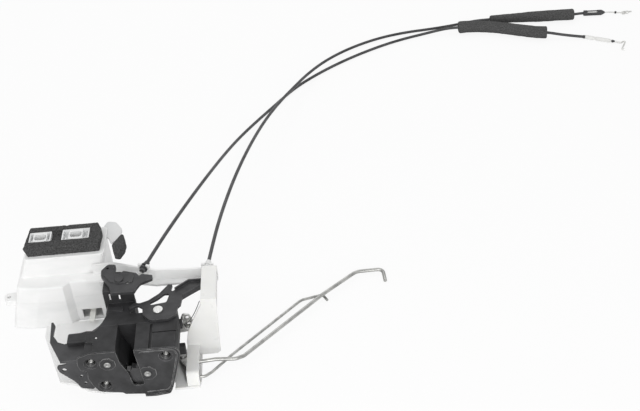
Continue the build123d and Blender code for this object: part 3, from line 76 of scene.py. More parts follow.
def lamp(name, place, aim, size, power):
    data = bpy.data.lights.new(name, "AREA")
    data.shape = "DISK"
    data.size = size
    data.energy = power
    lamp_object = bpy.data.objects.new(name, data)
    lamp_object.location = place
    aiming = Vector(aim) - Vector(place)
    lamp_object.rotation_euler = aiming.to_track_quat("-Z", "Y").to_euler()
    bpy.context.collection.objects.link(lamp_object)


lamp("key_lamp", place=(-0.7, -0.6, 1.3), aim=LATCH_HEART, size=0.7, power=2.5)
lamp("front_lamp", place=(0.1, -1.4, 0.62), aim=LATCH_HEART, size=1.2, power=8.6)
lamp("back_lamp", place=(0.1, 1.2, 1.1), aim=BACK_HEART, size=0.9, power=2.0)

world = bpy.data.worlds.new("studio")
world.use_nodes = True
bpy.context.scene.world = world
tree = world.node_tree
sky = tree.nodes["Background"]
sky.inputs["Color"].default_value = (1, 1, 1, 1)
path = tree.nodes.new("ShaderNodeLightPath")
seen = tree.nodes.new("ShaderNodeMath")
seen.operation = "MAXIMUM"
tree.links.new(path.outputs["Is Camera Ray"], seen.inputs[0])
tree.links.new(path.outputs["Is Transmission Ray"], seen.inputs[1])
strength = tree.nodes.new("ShaderNodeMapRange")
strength.inputs["To Min"].default_value = AMBIENT
strength.inputs["To Max"].default_value = 1.0
tree.links.new(seen.outputs[0], strength.inputs["Value"])
tree.links.new(strength.outputs[0], sky.inputs["Strength"])

table_mesh = bpy.data.meshes.new("table")
table_corners = [(x * TABLE_REACH, y * TABLE_REACH, -TABLE_DROP)
                 for x, y in ((-1, -1), (1, -1), (1, 1), (-1, 1))]
table_mesh.from_pydata(table_corners, [], [(0, 1, 2, 3)])
table = bpy.data.objects.new("table", table_mesh)
bpy.context.collection.objects.link(table)
table_finish = bpy.data.materials.new("table_white")
table_finish.use_nodes = True
tree = table_finish.node_tree
paper = tree.nodes["Principled BSDF"]
paper.inputs["Base Color"].default_value = (TABLE_SHADE, TABLE_SHADE, TABLE_SHADE, 1)
paper.inputs["Roughness"].default_value = TABLE_ROUGHNESS
glow = tree.nodes.new("ShaderNodeEmission")
glow.inputs["Strength"].default_value = 1.0
path = tree.nodes.new("ShaderNodeLightPath")
share = tree.nodes.new("ShaderNodeMath")
share.operation = "MULTIPLY"
share.inputs[1].default_value = TABLE_GLOW
mix = tree.nodes.new("ShaderNodeMixShader")
tree.links.new(path.outputs["Is Camera Ray"], share.inputs[0])
tree.links.new(share.outputs[0], mix.inputs["Fac"])
tree.links.new(paper.outputs[0], mix.inputs[1])
tree.links.new(glow.outputs[0], mix.inputs[2])
tree.links.new(mix.outputs[0], tree.nodes["Material Output"].inputs["Surface"])
table_mesh.materials.append(table_finish)


# ---------------------------------------------------------------- cable jackets
# Two Bowden cables in smooth black plastic jackets, 4 mm thick. They leave the white bracket,
# come down to the table in a wide bow and run on through foam sleeves to their end fittings.
JACKET = 0.004
JACKET_BEND_STEPS = 12
JACKET_GIRTH_STEPS = 5
GRAIN_LOW, GRAIN_HIGH = 0.3, 0.7   # most of a noise lies between these
EDGE_SAMPLES = 4
ORIGIN = (61.998, 98.95)       # where the row's origin lies in the latch's own millimetres
INSIDE_ROUTE = (
    (14.73, 124.47, 74), (27.57, 159.17, 74), (41, 196.7, 71.2), (55.6, 243.9, 63.4),
    (68.3, 290.9, 52.1), (80.2, 337.7, 39.1), (92.7, 384.3, 26), (108.1, 430.4, 14.4),
    (128.9, 475, 5.9), (155.2, 517.3, 2.1), (184.3, 558, 2.1), (221, 591.8, 2.1),
    (261.3, 621.4, 2.1), (304.9, 646.7, 2.1), (345, 664.6, 2.1), (386, 674.5, 3.4),
    (414.6, 676.2, 7.6), (434.2, 674.2, 8.9), (452, 673.7, 8.9), (470, 671.6, 8.9),
    (501.4, 660.4, 8.9), (530.4, 647.1, 8.9), (552, 639.6, 8.9), (562, 637, 8.6),
    (587, 631.1, 5), (613, 625.6, 3))
OPEN_ROUTE = (
    (81.44, 117.44, 74), (86.66, 156.09, 74), (93.1, 196.2, 72.7), (102, 245.2, 68.9),
    (111.8, 293.9, 63.2), (122.5, 342.2, 55.9), (134.3, 390.1, 47.6), (147.8, 437.4, 38.8),
    (164.2, 483.8, 29.9), (183.6, 529.1, 21.5), (204.8, 573.8, 14), (232.2, 615, 8),
    (268, 649.5, 3.8), (311.4, 674, 2.1), (355, 685, 2.1), (398, 688.4, 2.1),
    (436, 690.2, 4.8), (461, 691.5, 7.6), (484, 690.8, 8.3), (515, 689.1, 8.3),
    (546, 687.6, 8.3), (578, 686.3, 8.3), (602, 684.9, 8.3), (612, 684.9, 7.9),
    (622, 691, 4.9), (629, 691.3, 4.4))


def placed(x, y, z):
    """A point given in the latch's own millimetres, in the row's metres."""
    return Vector(((x - ORIGIN[0]) / 1000, (y - ORIGIN[1]) / 1000, z / 1000))


def shader(name, colour, roughness, metallic=0.0):
    finish = bpy.data.materials.new(name)
    finish.use_nodes = True
    surface = finish.node_tree.nodes["Principled BSDF"]
    surface.inputs["Base Color"].default_value = (*colour, 1)
    surface.inputs["Roughness"].default_value = roughness
    surface.inputs["Metallic"].default_value = metallic
    return finish, finish.node_tree, surface


def grain(tree, scale, detail=3.0, stretch=(1, 1, 1)):
    """Noise that keeps its size whatever piece it is on."""
    place = tree.nodes.new("ShaderNodeTexCoord")
    spread = tree.nodes.new("ShaderNodeMapping")
    spread.inputs["Scale"].default_value = stretch
    tree.links.new(place.outputs["Object"], spread.inputs["Vector"])
    cloud = tree.nodes.new("ShaderNodeTexNoise")
    cloud.inputs["Scale"].default_value = scale
    cloud.inputs["Detail"].default_value = detail
    tree.links.new(spread.outputs[0], cloud.inputs["Vector"])
    return cloud.outputs["Fac"]


def tint(tree, surface, source, dark, light, low=0.35, high=0.65):
    """Base colour that wanders between two shades."""
    ramp = tree.nodes.new("ShaderNodeValToRGB")
    ramp.color_ramp.elements[0].position = low
    ramp.color_ramp.elements[0].color = (*dark, 1)
    ramp.color_ramp.elements[1].position = high
    ramp.color_ramp.elements[1].color = (*light, 1)
    tree.links.new(source, ramp.inputs["Fac"])
    tree.links.new(ramp.outputs["Color"], surface.inputs["Base Color"])


def polish(tree, surface, source, low, high):
    """Roughness that wanders between two values."""
    spread = tree.nodes.new("ShaderNodeMapRange")
    spread.inputs["From Min"].default_value = GRAIN_LOW
    spread.inputs["From Max"].default_value = GRAIN_HIGH
    spread.inputs["To Min"].default_value = low
    spread.inputs["To Max"].default_value = high
    tree.links.new(source, spread.inputs["Value"])
    tree.links.new(spread.outputs[0], surface.inputs["Roughness"])


def relief(tree, surface, source, height, strength=0.4, edge=0.0):
    """Fine bumps, over edges that are softened by the given radius."""
    bump = tree.nodes.new("ShaderNodeBump")
    bump.inputs["Strength"].default_value = strength
    bump.inputs["Distance"].default_value = height
    tree.links.new(source, bump.inputs["Height"])
    if edge:
        soft = tree.nodes.new("ShaderNodeBevel")
        soft.samples = EDGE_SAMPLES
        soft.inputs["Radius"].default_value = edge
        tree.links.new(soft.outputs[0], bump.inputs["Normal"])
    tree.links.new(bump.outputs[0], surface.inputs["Normal"])


def jacket_finish():
    finish, tree, surface = shader("jacket_plastic", (0.05, 0.05, 0.052), 0.36)
    tint(tree, surface, grain(tree, 60), dark=(0.036, 0.036, 0.038), light=(0.066, 0.066, 0.069))
    polish(tree, surface, grain(tree, 400), low=0.26, high=0.42)
    relief(tree, surface, grain(tree, 1500), height=0.00008)
    return finish


def standing(piece, finish):
    """Put a finished piece in the scene, on the latch's fixed body."""
    piece.data.materials.append(finish)
    bpy.context.collection.objects.link(piece)
    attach(piece, "latch")
    return piece


def drawn(name, route, radius, finish):
    """A round bar or jacket that runs smoothly along its route."""
    curve = bpy.data.curves.new(name, "CURVE")
    curve.dimensions = "3D"
    spline = curve.splines.new("NURBS")
    spline.points.add(len(route) - 1)
    for point, corner in zip(spline.points, route):
        point.co = (*placed(*corner), 1)
    spline.order_u = 3
    spline.use_endpoint_u = True
    spline.resolution_u = JACKET_BEND_STEPS
    curve.bevel_depth = radius
    curve.bevel_resolution = JACKET_GIRTH_STEPS
    curve.use_fill_caps = True
    return standing(bpy.data.objects.new(name, curve), finish)


black_jacket = jacket_finish()
inside_jacket = drawn("inside_jacket", INSIDE_ROUTE, JACKET / 2, black_jacket)
open_jacket = drawn("open_jacket", OPEN_ROUTE, JACKET / 2, black_jacket)
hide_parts("inside_cable_jacket", "inside_cable_tail")
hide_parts("open_cable_jacket", "open_cable_tail")

# ---------------------------------------------------------------- foam sleeves on the cables
# Tubes of black open-cell foam, 128 mm long, pulled over the jackets so that they do not knock
# on the door's skin. One is squeezed thin where it was cut; both are slightly bent.
SLEEVE_BORE = 2.5
SLEEVE_LIP = 0.4               # flat ring of the cut end beside the bore
SLEEVE_LINING = 0.08           # share of the length that the bore's wall goes in at each end
SLEEVE_EDGE = 2.5              # how far the cut edges are rounded
EDGE_TURNS = (0, 22, 45, 68, 90)   # degrees at which the rounding has a ring
INSIDE_SLEEVE = ((434.2, 674.2, 8.9), (486, 677, 8.9), (520, 645, 8.9), (559.1, 637.7, 8.9))
INSIDE_SLEEVE_R = ((0, 8.8), (0.5, 8.5), (1, 8.8))
OPEN_SLEEVE = ((483.8, 690.8, 8.3), (525, 688.4, 8.3), (567, 686.8, 8.3), (609.2, 684.5, 8.3))
OPEN_SLEEVE_R = ((0, 5.7), (0.25, 6.6), (0.6, 8.1), (1, 8.2))
SLEEVE_STEP = 1.6
SLEEVE_SIDES = 48
LENGTH_STEPS = 40              # parts of a line that are added up for its length
FOAM_SWELL = 0.32              # how far the foam's surface wanders, in mm
FOAM_WAVE = 9                  # length of its slow swells, in mm
FOAM_PIT = 1.7                 # size of its pits
FOAM_PIT_SHARE = 0.6
TABLE_CLEARANCE = 0.02


def foam_finish(name, dark, light):
    """Cut foam: a dull mesh of open cells with lighter walls."""
    finish, tree, surface = shader(name, light, 0.95)
    surface.inputs["Specular IOR Level"].default_value = 0.2
    cells = grain(tree, 850, detail=2.5)
    tint(tree, surface, cells, dark, light, low=0.32, high=0.68)
    relief(tree, surface, cells, height=0.0007, strength=0.8)
    return finish


def on_line(line, share):
    """Place and direction on a smooth line through four control points."""
    a, b, c, d = (Vector(corner) for corner in line)
    rest = 1 - share
    place = (rest ** 3 * a + 3 * rest ** 2 * share * b + 3 * rest * share ** 2 * c
             + share ** 3 * d)
    way = rest ** 2 * (b - a) + 2 * rest * share * (c - b) + share ** 2 * (d - c)
    return place, way.normalized()


def straight(start, end):
    """The same kind of line with no bend in it."""
    start, end = Vector(start), Vector(end)
    return (start, start.lerp(end, 1 / 3), start.lerp(end, 2 / 3), end)


def ring(line, share, radius, sides, swell=0.0):
    """Points round the line; foam may wander in and out, but not through the table."""
    place, way = on_line(line, share)
    across = way.cross(Vector((0, 0, 1))).normalized()
    over = across.cross(way)
    points = []
    for side in range(sides):
        angle = 2 * pi * side / sides
        out = cos(angle) * across + sin(angle) * over
        point = place + radius * out
        if swell:
            coarse = noise.noise(point / FOAM_WAVE)
            fine = noise.noise(point / FOAM_PIT)
            point += swell * (coarse + FOAM_PIT_SHARE * fine) * out
            point.z = max(point.z, TABLE_CLEARANCE)
        points.append(placed(*point))
    return points


def turned(name, line, profile, sides, finish, hollow=False, swell=0.0):
    """A round piece along a line; profile gives (share of the line, radius) end to end."""
    mesh = bpy.data.meshes.new(name)
    shape = bmesh.new()
    rings = [[shape.verts.new(point) for point in ring(line, share, radius, sides, swell)]
             for share, radius in profile]
    if hollow:
        rings.append(rings[0])
    for near, far in zip(rings, rings[1:]):
        for side in range(sides):
            after = (side + 1) % sides
            shape.faces.new((near[side], far[side], far[after], near[after]))
    if not hollow:
        shape.faces.new(rings[0])
        shape.faces.new(reversed(rings[-1]))
    bmesh.ops.recalc_face_normals(shape, faces=shape.faces)
    for face in shape.faces:
        face.smooth = True
    shape.to_mesh(mesh)
    shape.free()
    return standing(bpy.data.objects.new(name, mesh), finish)


def radius_at(table, share):
    """Read a radius between the given shares."""
    for (low, first), (high, second) in zip(table, table[1:]):
        if share <= high:
            return first + (second - first) * (share - low) / (high - low)
    return table[-1][1]


def sleeve(name, line, radii):
    stops = [on_line(line, k / LENGTH_STEPS)[0] for k in range(LENGTH_STEPS + 1)]
    length = sum((after - before).length for before, after in zip(stops, stops[1:]))
    edge = SLEEVE_EDGE / length
    steps = int(length / SLEEVE_STEP)
    corner = [(1 - cos(radians(turn)), 1 - sin(radians(turn))) for turn in EDGE_TURNS]
    profile = [(SLEEVE_LINING, SLEEVE_BORE), (0, SLEEVE_BORE), (0, SLEEVE_BORE + SLEEVE_LIP)]
    profile += [(edge * inward, radii[0][1] - SLEEVE_EDGE * short) for inward, short in corner]
    for step in range(1, steps):
        share = edge + (1 - 2 * edge) * step / steps
        profile.append((share, radius_at(radii, share)))
    profile += [(1 - edge * inward, radii[-1][1] - SLEEVE_EDGE * short)
                for inward, short in reversed(corner)]
    profile += [(1, SLEEVE_BORE + SLEEVE_LIP), (1, SLEEVE_BORE), (1 - SLEEVE_LINING, SLEEVE_BORE)]
    return turned(name, line, profile, SLEEVE_SIDES, sleeve_foam, hollow=True,
                  swell=FOAM_SWELL)


sleeve_foam = foam_finish("sleeve_foam", dark=(0.05, 0.05, 0.05), light=(0.12, 0.12, 0.12))
inside_sleeve = sleeve("inside_sleeve", INSIDE_SLEEVE, INSIDE_SLEEVE_R)
open_sleeve = sleeve("open_sleeve", OPEN_SLEEVE, OPEN_SLEEVE_R)
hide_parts("inside_cable_sleeve")
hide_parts("open_cable_sleeve")

# ---------------------------------------------------------------- cable ends
# Behind its sleeve the inside cable ends in a pale plastic bush and a Z-hook of bent wire. The
# opening cable ends in a black clip with a window and a crimped tip on a bare pale wire.
THIN_SIDES, END_SIDES, THICK_SIDES = 20, 24, 28   # flats round the turned pieces
CAP_START = (609.4, 626.4, 3.2)
INSIDE_TAIL_END = (613, 625.6, 3.0)
BUSH_END = (646.9, 608.0, 3.0)
COLLAR_END = (651.4, 606.1, 3.0)
CAP_PROFILE = ((0, 2.05), (0.08, 2.4), (0.9, 2.45), (1, 2.1))
BUSH_PROFILE = ((0, 2.0), (0.01, 2.6), (0.05, 2.8), (0.3, 2.8), (0.32, 2.4), (0.4, 2.4),
                (0.42, 2.8), (0.9, 2.8), (0.94, 2.2), (0.99, 1.7), (1, 1.3))
COLLAR_PROFILE = ((0, 1.2), (0.02, 1.9), (0.5, 2.1), (0.55, 1.5), (0.9, 1.5), (1, 1.1))
HOOK_LINE = ((650, 606.9, 3.0), (655.5, 602.6, 3.0), (659.2, 600.4, 3.0), (661.6, 603.6, 3.0),
             (665.4, 603.8, 2.9), (664.6, 600.6, 2.7), (657.0, 587.6, 1.9), (656.6, 584.6, 1.8),
             (659.9, 584.1, 1.8))
HOOK_R = 0.0011
OPEN_TAIL_END = (625.8, 691.6, 4.4)
CLIP_END = (651.4, 689.4, 4.4)
CLIP_R, CLIP_BORE = 4.1, 2.5
CLIP_SIDES = 32
CLIP_STEPS = 24
CLIP_WINDOW = (0.22, 0.8)      # shares of its length between which its top is open
CLIP_OPENING = 0.34            # share of its girth that the window takes
CLIP_TOP = 0.25                # share of the girth at which the top lies
CORE_START, CORE_END = (629, 691.3, 4.4), (653, 689.3, 4.4)
CORE_TURNS, CORE_R, CORE_WIRE = 14, 1.8, 0.5
COIL_STEPS = 6                 # rings to each ridge of the coil
TIP_END = (657, 688.9, 4.3)
TIP_PROFILE = ((0, 4.1), (0.1, 4.0), (0.55, 2.8), (0.9, 1.7), (1, 1.2))
WIRE_END_LINE = ((655.5, 689.0, 4.3), (667, 688.3, 4.0), (676, 686.2, 3.2), (683, 685.2, 2.8))
WIRE_END_R = 0.0009
BEAD_START, BEAD_END = (671.3, 687.6, 3.7), (674.2, 686.9, 3.4)
BEAD_PROFILE = ((0, 1.0), (0.1, 1.7), (0.5, 2.0), (0.9, 1.7), (1, 1.0))
CRIMP_START, CRIMP_END = (682.1, 685.1, 2.8), (697, 687.2, 2.8)
CRIMP_PROFILE = ((0, 1.0), (0.02, 2.2), (0.1, 2.5), (0.3, 2.5), (0.34, 1.9), (0.48, 1.9),
                 (0.52, 2.5), (0.6, 2.4), (0.66, 1.3), (0.94, 1.1), (1, 0.7))


def metal_finish(name, dark, light, low, high, stretch=(1, 1, 1)):
    """Plated or drawn metal with fine scratches."""
    finish, tree, surface = shader(name, light, high, metallic=1.0)
    tint(tree, surface, grain(tree, 120, stretch=stretch), dark, light)
    polish(tree, surface, grain(tree, 700, stretch=stretch), low, high)
    relief(tree, surface, grain(tree, 1800), height=0.00004, strength=0.3, edge=0.0003)
    return finish


def pale_finish():
    finish, tree, surface = shader("pale_fitting", (0.86, 0.86, 0.84), 0.4)
    tint(tree, surface, grain(tree, 200), dark=(0.8, 0.8, 0.78), light=(0.88, 0.88, 0.86))
    polish(tree, surface, grain(tree, 300), low=0.34, high=0.5)
    relief(tree, surface, grain(tree, 1500), height=0.00005, strength=0.3)
    return finish


def clip_shell(name, start, end):
    """A tube that is cut open along its top between two shares of its length."""
    line = straight(start, end)
    mesh = bpy.data.meshes.new(name)
    shape = bmesh.new()
    outer, inner = ([[shape.verts.new(point)
                      for point in ring(line, step / CLIP_STEPS, radius, CLIP_SIDES)]
                     for step in range(CLIP_STEPS + 1)] for radius in (CLIP_R, CLIP_BORE))

    def is_open(step, side):
        along = (step + 0.5) / CLIP_STEPS
        off_top = abs((side + 0.5) / CLIP_SIDES - CLIP_TOP)
        in_length = 0 <= step < CLIP_STEPS and CLIP_WINDOW[0] < along < CLIP_WINDOW[1]
        return in_length and off_top < CLIP_OPENING / 2

    for step in range(CLIP_STEPS):
        for side in range(CLIP_SIDES):
            after = (side + 1) % CLIP_SIDES
            if is_open(step, side):
                continue
            shape.faces.new((outer[step][side], outer[step + 1][side],
                             outer[step + 1][after], outer[step][after]))
            shape.faces.new((inner[step][side], inner[step][after],
                             inner[step + 1][after], inner[step + 1][side]))
            for row, beside in ((step, step - 1), (step + 1, step + 1)):
                if beside in (-1, CLIP_STEPS) or is_open(beside, side):
                    shape.faces.new((outer[row][side], outer[row][after],
                                     inner[row][after], inner[row][side]))
            for column, beside in ((side, side - 1), (after, after)):
                if is_open(step, beside % CLIP_SIDES):
                    shape.faces.new((outer[step][column], outer[step + 1][column],
                                     inner[step + 1][column], inner[step][column]))
    unused = [vert for vert in shape.verts if not vert.link_faces]
    bmesh.ops.delete(shape, geom=unused, context="VERTS")
    bmesh.ops.recalc_face_normals(shape, faces=shape.faces)
    shape.to_mesh(mesh)
    shape.free()
    return standing(bpy.data.objects.new(name, mesh), black_jacket)


def coil_profile(turns, core, wire):
    """Radii of a close-wound spring seen as ridges."""
    steps = turns * COIL_STEPS
    return [(step / steps, core + wire * abs(sin(pi * step / COIL_STEPS)))
            for step in range(steps + 1)]


pale_plastic = pale_finish()
end_wire = metal_finish("end_wire", dark=(0.7, 0.7, 0.68), light=(0.88, 0.88, 0.86),
                        low=0.3, high=0.45)
inside_cap = turned("inside_cap", straight(CAP_START, INSIDE_TAIL_END), CAP_PROFILE, END_SIDES,
                    black_jacket)
inside_bush = turned("inside_bush", straight(INSIDE_TAIL_END, BUSH_END), BUSH_PROFILE,
                     THICK_SIDES, pale_plastic)
inside_collar = turned("inside_collar", straight(BUSH_END, COLLAR_END), COLLAR_PROFILE,
                       END_SIDES, black_jacket)
inside_hook = drawn("inside_hook", HOOK_LINE, HOOK_R, end_wire)
open_clip = clip_shell("open_clip", OPEN_TAIL_END, CLIP_END)
open_clip_core = turned("open_clip_core", straight(CORE_START, CORE_END),
                        coil_profile(CORE_TURNS, CORE_R, CORE_WIRE), THIN_SIDES, end_wire)
open_clip_tip = turned("open_clip_tip", straight(CLIP_END, TIP_END), TIP_PROFILE,
                       THICK_SIDES, black_jacket)
open_wire_end = drawn("open_wire_end", WIRE_END_LINE, WIRE_END_R, end_wire)
open_bead = turned("open_bead", straight(BEAD_START, BEAD_END), BEAD_PROFILE, THIN_SIDES,
                   black_jacket)
open_crimp = turned("open_crimp", straight(CRIMP_START, CRIMP_END), CRIMP_PROFILE, END_SIDES,
                    end_wire)
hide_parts("inside_cable_end")
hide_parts("open_cable_end")

# ---------------------------------------------------------------- foam gasket and foam pad
# The gasket is a block of black foam, 11 mm thick, die-cut round the two sockets and stuck on
# the tower. A smaller pad of the same foam sits on the grey arm beside it.
FOAM_CELL = 0.0007             # size of the mesh that follows the cut foam
FOAM_SINK = 0.00025            # how far the surface wanders
FOAM_SOFTENING = 0.5
BLANK_WAVE = 6                 # length of the surface's slow swells, in mm
BLANK_PIT = 1.5                # size of its pits
BLANK_PIT_SHARE = 0.9
BLANK_BIAS = 0.3               # taken off the noise, so that the surface lies mostly inside


def cut_foam(name, source, finish):
    """Foam in the shape of its blank, with softened edges and an uneven surface."""
    mesh = node[source].data.copy()
    mesh.name = name
    mesh.materials.clear()
    blank = bpy.data.objects.new(name + "_blank", mesh)
    bpy.context.collection.objects.link(blank)
    remesh = blank.modifiers.new("remesh", "REMESH")
    remesh.mode = "VOXEL"
    remesh.voxel_size = FOAM_CELL
    soften = blank.modifiers.new("soften", "SMOOTH")
    soften.factor = FOAM_SOFTENING
    soften.iterations = 1
    evaluated = blank.evaluated_get(bpy.context.evaluated_depsgraph_get())
    result = bpy.data.meshes.new_from_object(evaluated)
    result.name = name
    bpy.data.objects.remove(blank)
    for vert in result.vertices:
        here = vert.co * 1000
        depth = noise.noise(here / BLANK_WAVE) + BLANK_PIT_SHARE * noise.noise(here / BLANK_PIT)
        vert.co += vert.normal * FOAM_SINK * (depth - BLANK_BIAS)
    for polygon in result.polygons:
        polygon.use_smooth = True
    piece = standing(bpy.data.objects.new(name, result), finish)
    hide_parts(source)


gasket_foam = foam_finish("gasket_foam", dark=(0.03, 0.03, 0.03), light=(0.105, 0.105, 0.105))
cut_foam("socket_gasket", "connector_foam", gasket_foam)
cut_foam("arm_pad", "foam_pad", gasket_foam)


# ---------------------------------------------------------------- case of the lock actuator
# Two shells of natural polypropylene, clipped together over the motor. The walls show a fine
# satin texture and faint grey flow lines.
FLOW_STRETCH = (1, 1, 2.5)     # flow lines lie flat, so the noise is squeezed upwards
GLOSSIER, DULLER = 0.06, 0.08  # how far the roughness goes to each side
CASE_GLOW = 0.15               # share of the light that goes under the skin
CASE_GLOW_DEPTH = (0.004, 0.004, 0.004)


def dress(finish, *names):
    """Give carried-over pieces their finish."""
    for name in names:
        slots = node[name].data.materials
        slots.clear()
        slots.append(finish)


def moulded_finish(name, dark, light, rough, edge):
    """Moulded plastic whose gloss lies a little to both sides of rough."""
    finish, tree, surface = shader(name, light, rough)
    tint(tree, surface, grain(tree, 25, stretch=FLOW_STRETCH), dark, light, low=0.3, high=0.6)
    polish(tree, surface, grain(tree, 90), low=rough - GLOSSIER, high=rough + DULLER)
    relief(tree, surface, grain(tree, 1200), height=0.00006, strength=0.25, edge=edge)
    return finish


case_white = moulded_finish("case_white", dark=(0.85, 0.855, 0.85), light=(0.92, 0.92, 0.915),
                            rough=0.42, edge=0.0008)
case_surface = case_white.node_tree.nodes["Principled BSDF"]
case_surface.inputs["Subsurface Weight"].default_value = CASE_GLOW
case_surface.inputs["Subsurface Radius"].default_value = CASE_GLOW_DEPTH
dress(case_white, "actuator_housing", "actuator_cover")

# ---------------------------------------------------------------- motor and gears in the case
# A small can motor drives a brass worm; the acetal wheel and its pinion turn the toothed
# sector, whose arm comes out of the window of the case.
gear_white = moulded_finish("gear_white", dark=(0.80, 0.80, 0.76), light=(0.87, 0.87, 0.83),
                            rough=0.35, edge=0.0002)
motor_can = metal_finish("motor_can", dark=(0.4, 0.4, 0.39), light=(0.56, 0.56, 0.55),
                         low=0.28, high=0.42, stretch=(0.2, 1, 1))
worm_brass = metal_finish("worm_brass", dark=(0.6, 0.45, 0.2), light=(0.75, 0.58, 0.28),
                          low=0.25, high=0.4)
dress(gear_white, "worm_wheel", "lock_sector")
dress(motor_can, "motor", "wheel_pin", "sector_pin")
dress(worm_brass, "worm")

# ---------------------------------------------------------------- sockets and terminals
# Two light grey sockets stand up through the gasket. Each has a rounded well with two rows of
# tinned pins and a keyed pocket at each side.
socket_grey = moulded_finish("socket_grey", dark=(0.80, 0.81, 0.81), light=(0.88, 0.885, 0.885),
                             rough=0.4, edge=0.0004)
arm_grey = moulded_finish("arm_grey", dark=(0.70, 0.71, 0.71), light=(0.8, 0.8, 0.8),
                          rough=0.45, edge=0.0004)
terminal_tin = metal_finish("terminal_tin", dark=(0.6, 0.59, 0.56), light=(0.78, 0.77, 0.73),
                            low=0.2, high=0.35)
dress(socket_grey, "connector_shrouds")
dress(arm_grey, "pad_arm")
dress(terminal_tin, "connector_terminals")

# ---------------------------------------------------------------- cable bracket
# White moulding fixed to the back of the case. The two jackets end in ferrules that snap
# into its open seats, one black and one white.
bracket_white = moulded_finish("bracket_white", dark=(0.84, 0.845, 0.84),
                               light=(0.92, 0.92, 0.915), rough=0.4, edge=0.0006)
dress(bracket_white, "cable_bracket", "open_cable_ferrule")
dress(black_jacket, "inside_cable_ferrule")


# ---------------------------------------------------------------- water shield
# Thin milky sheet of soft plastic in front of the levers, which keeps rain off them. Light
# comes through it a little.
SHIELD_GLOW = 0.5
SHIELD_GLOW_DEPTH = (0.006, 0.006, 0.0055)


def shield_finish():
    finish, tree, surface = shader("shield_white", (0.87, 0.87, 0.85), 0.36)
    tint(tree, surface, grain(tree, 18), dark=(0.82, 0.82, 0.80), light=(0.89, 0.89, 0.875))
    polish(tree, surface, grain(tree, 60), low=0.26, high=0.44)
    relief(tree, surface, grain(tree, 160), height=0.0002, strength=0.25, edge=0.0005)
    surface.inputs["Subsurface Weight"].default_value = SHIELD_GLOW
    surface.inputs["Subsurface Radius"].default_value = SHIELD_GLOW_DEPTH
    return finish


dress(shield_finish(), "water_shield")


# ---------------------------------------------------------------- cover plate
# Pressed steel, 2 mm, with a satin black coat. A lighter highlight is painted along its edges,
# round the raised pads and on the coined rib.
HIGHLIGHT_SAMPLES = 6
FLAT, SHARP = 0.985, 0.86      # how alike the two normals are off an edge and on one
HIGHLIGHT_LOW, HIGHLIGHT_HIGH = 0.35, 0.6    # noise between which the painted edge highlight goes from least to full
LEAST_HIGHLIGHT = 0.35


def painted_edge_highlight(tree, surface, edge_highlight, radius, highlight_amount):
    """Paint a highlight: a lighter shade where the surface turns over an edge, patchy with noise.
    """
    coat = surface.inputs["Base Color"].links[0].from_socket
    soft = tree.nodes.new("ShaderNodeBevel")
    soft.samples = HIGHLIGHT_SAMPLES
    soft.inputs["Radius"].default_value = radius
    flat = tree.nodes.new("ShaderNodeNewGeometry")
    turn = tree.nodes.new("ShaderNodeVectorMath")
    turn.operation = "DOT_PRODUCT"
    tree.links.new(soft.outputs[0], turn.inputs[0])
    tree.links.new(flat.outputs["Normal"], turn.inputs[1])
    edge = tree.nodes.new("ShaderNodeMapRange")
    edge.inputs["From Min"].default_value = FLAT
    edge.inputs["From Max"].default_value = SHARP
    edge.inputs["To Max"].default_value = highlight_amount
    tree.links.new(turn.outputs["Value"], edge.inputs["Value"])
    patchy = tree.nodes.new("ShaderNodeMapRange")
    patchy.inputs["From Min"].default_value = HIGHLIGHT_LOW
    patchy.inputs["From Max"].default_value = HIGHLIGHT_HIGH
    patchy.inputs["To Min"].default_value = LEAST_HIGHLIGHT
    tree.links.new(grain(tree, 140), patchy.inputs["Value"])
    highlight_share = tree.nodes.new("ShaderNodeMath")
    highlight_share.operation = "MULTIPLY"
    tree.links.new(edge.outputs[0], highlight_share.inputs[0])
    tree.links.new(patchy.outputs[0], highlight_share.inputs[1])
    blend = tree.nodes.new("ShaderNodeMix")
    blend.data_type = "RGBA"
    blend.inputs["B"].default_value = (*edge_highlight, 1)
    tree.links.new(highlight_share.outputs[0], blend.inputs["Factor"])
    tree.links.new(coat, blend.inputs["A"])
    tree.links.new(blend.outputs["Result"], surface.inputs["Base Color"])


def black_finish(name, dark, light, low, high, bump, edge, edge_highlight, highlight_amount, shine):
    """Black coat or plastic, with a lighter highlight painted on its edges."""
    finish, tree, surface = shader(name, light, high)
    surface.inputs["Specular IOR Level"].default_value = shine
    tint(tree, surface, grain(tree, 70), dark, light)
    painted_edge_highlight(tree, surface, edge_highlight, edge, highlight_amount)
    polish(tree, surface, grain(tree, 160), low, high)
    relief(tree, surface, grain(tree, 1400), height=bump, strength=0.35, edge=edge)
    return finish


# The light shade given for its edges is a painted highlight.
plate_black = black_finish("plate_black", dark=(0.030, 0.030, 0.031),
                           light=(0.050, 0.050, 0.052), low=0.3, high=0.46, bump=0.00006,
                           edge=0.0007, edge_highlight=(0.42, 0.42, 0.42), highlight_amount=1.0, shine=0.26)
dress(plate_black, "cover_plate")

# ---------------------------------------------------------------- mounting nuts
# Three M6 weld nuts behind the plate; their colour is darkened to paint the shade down in the
# countersunk dishes. Their threads are the only bright thing in the dishes.
SCREW_POINTS = ((-38.2, 53.0), (-28.7, 19.7), (38.1, 55.0))
THREAD_FRONT, THREAD_BACK = 4.2, 9.6
THREAD_R, THREAD_DEPTH, THREAD_PITCH = 2.54, 0.42, 1.0
THREAD_FOOT, THREAD_CREST = 0.4, 0.07  # half the ridge's width at its foot and at its crest
THREAD_SEGMENTS = 30


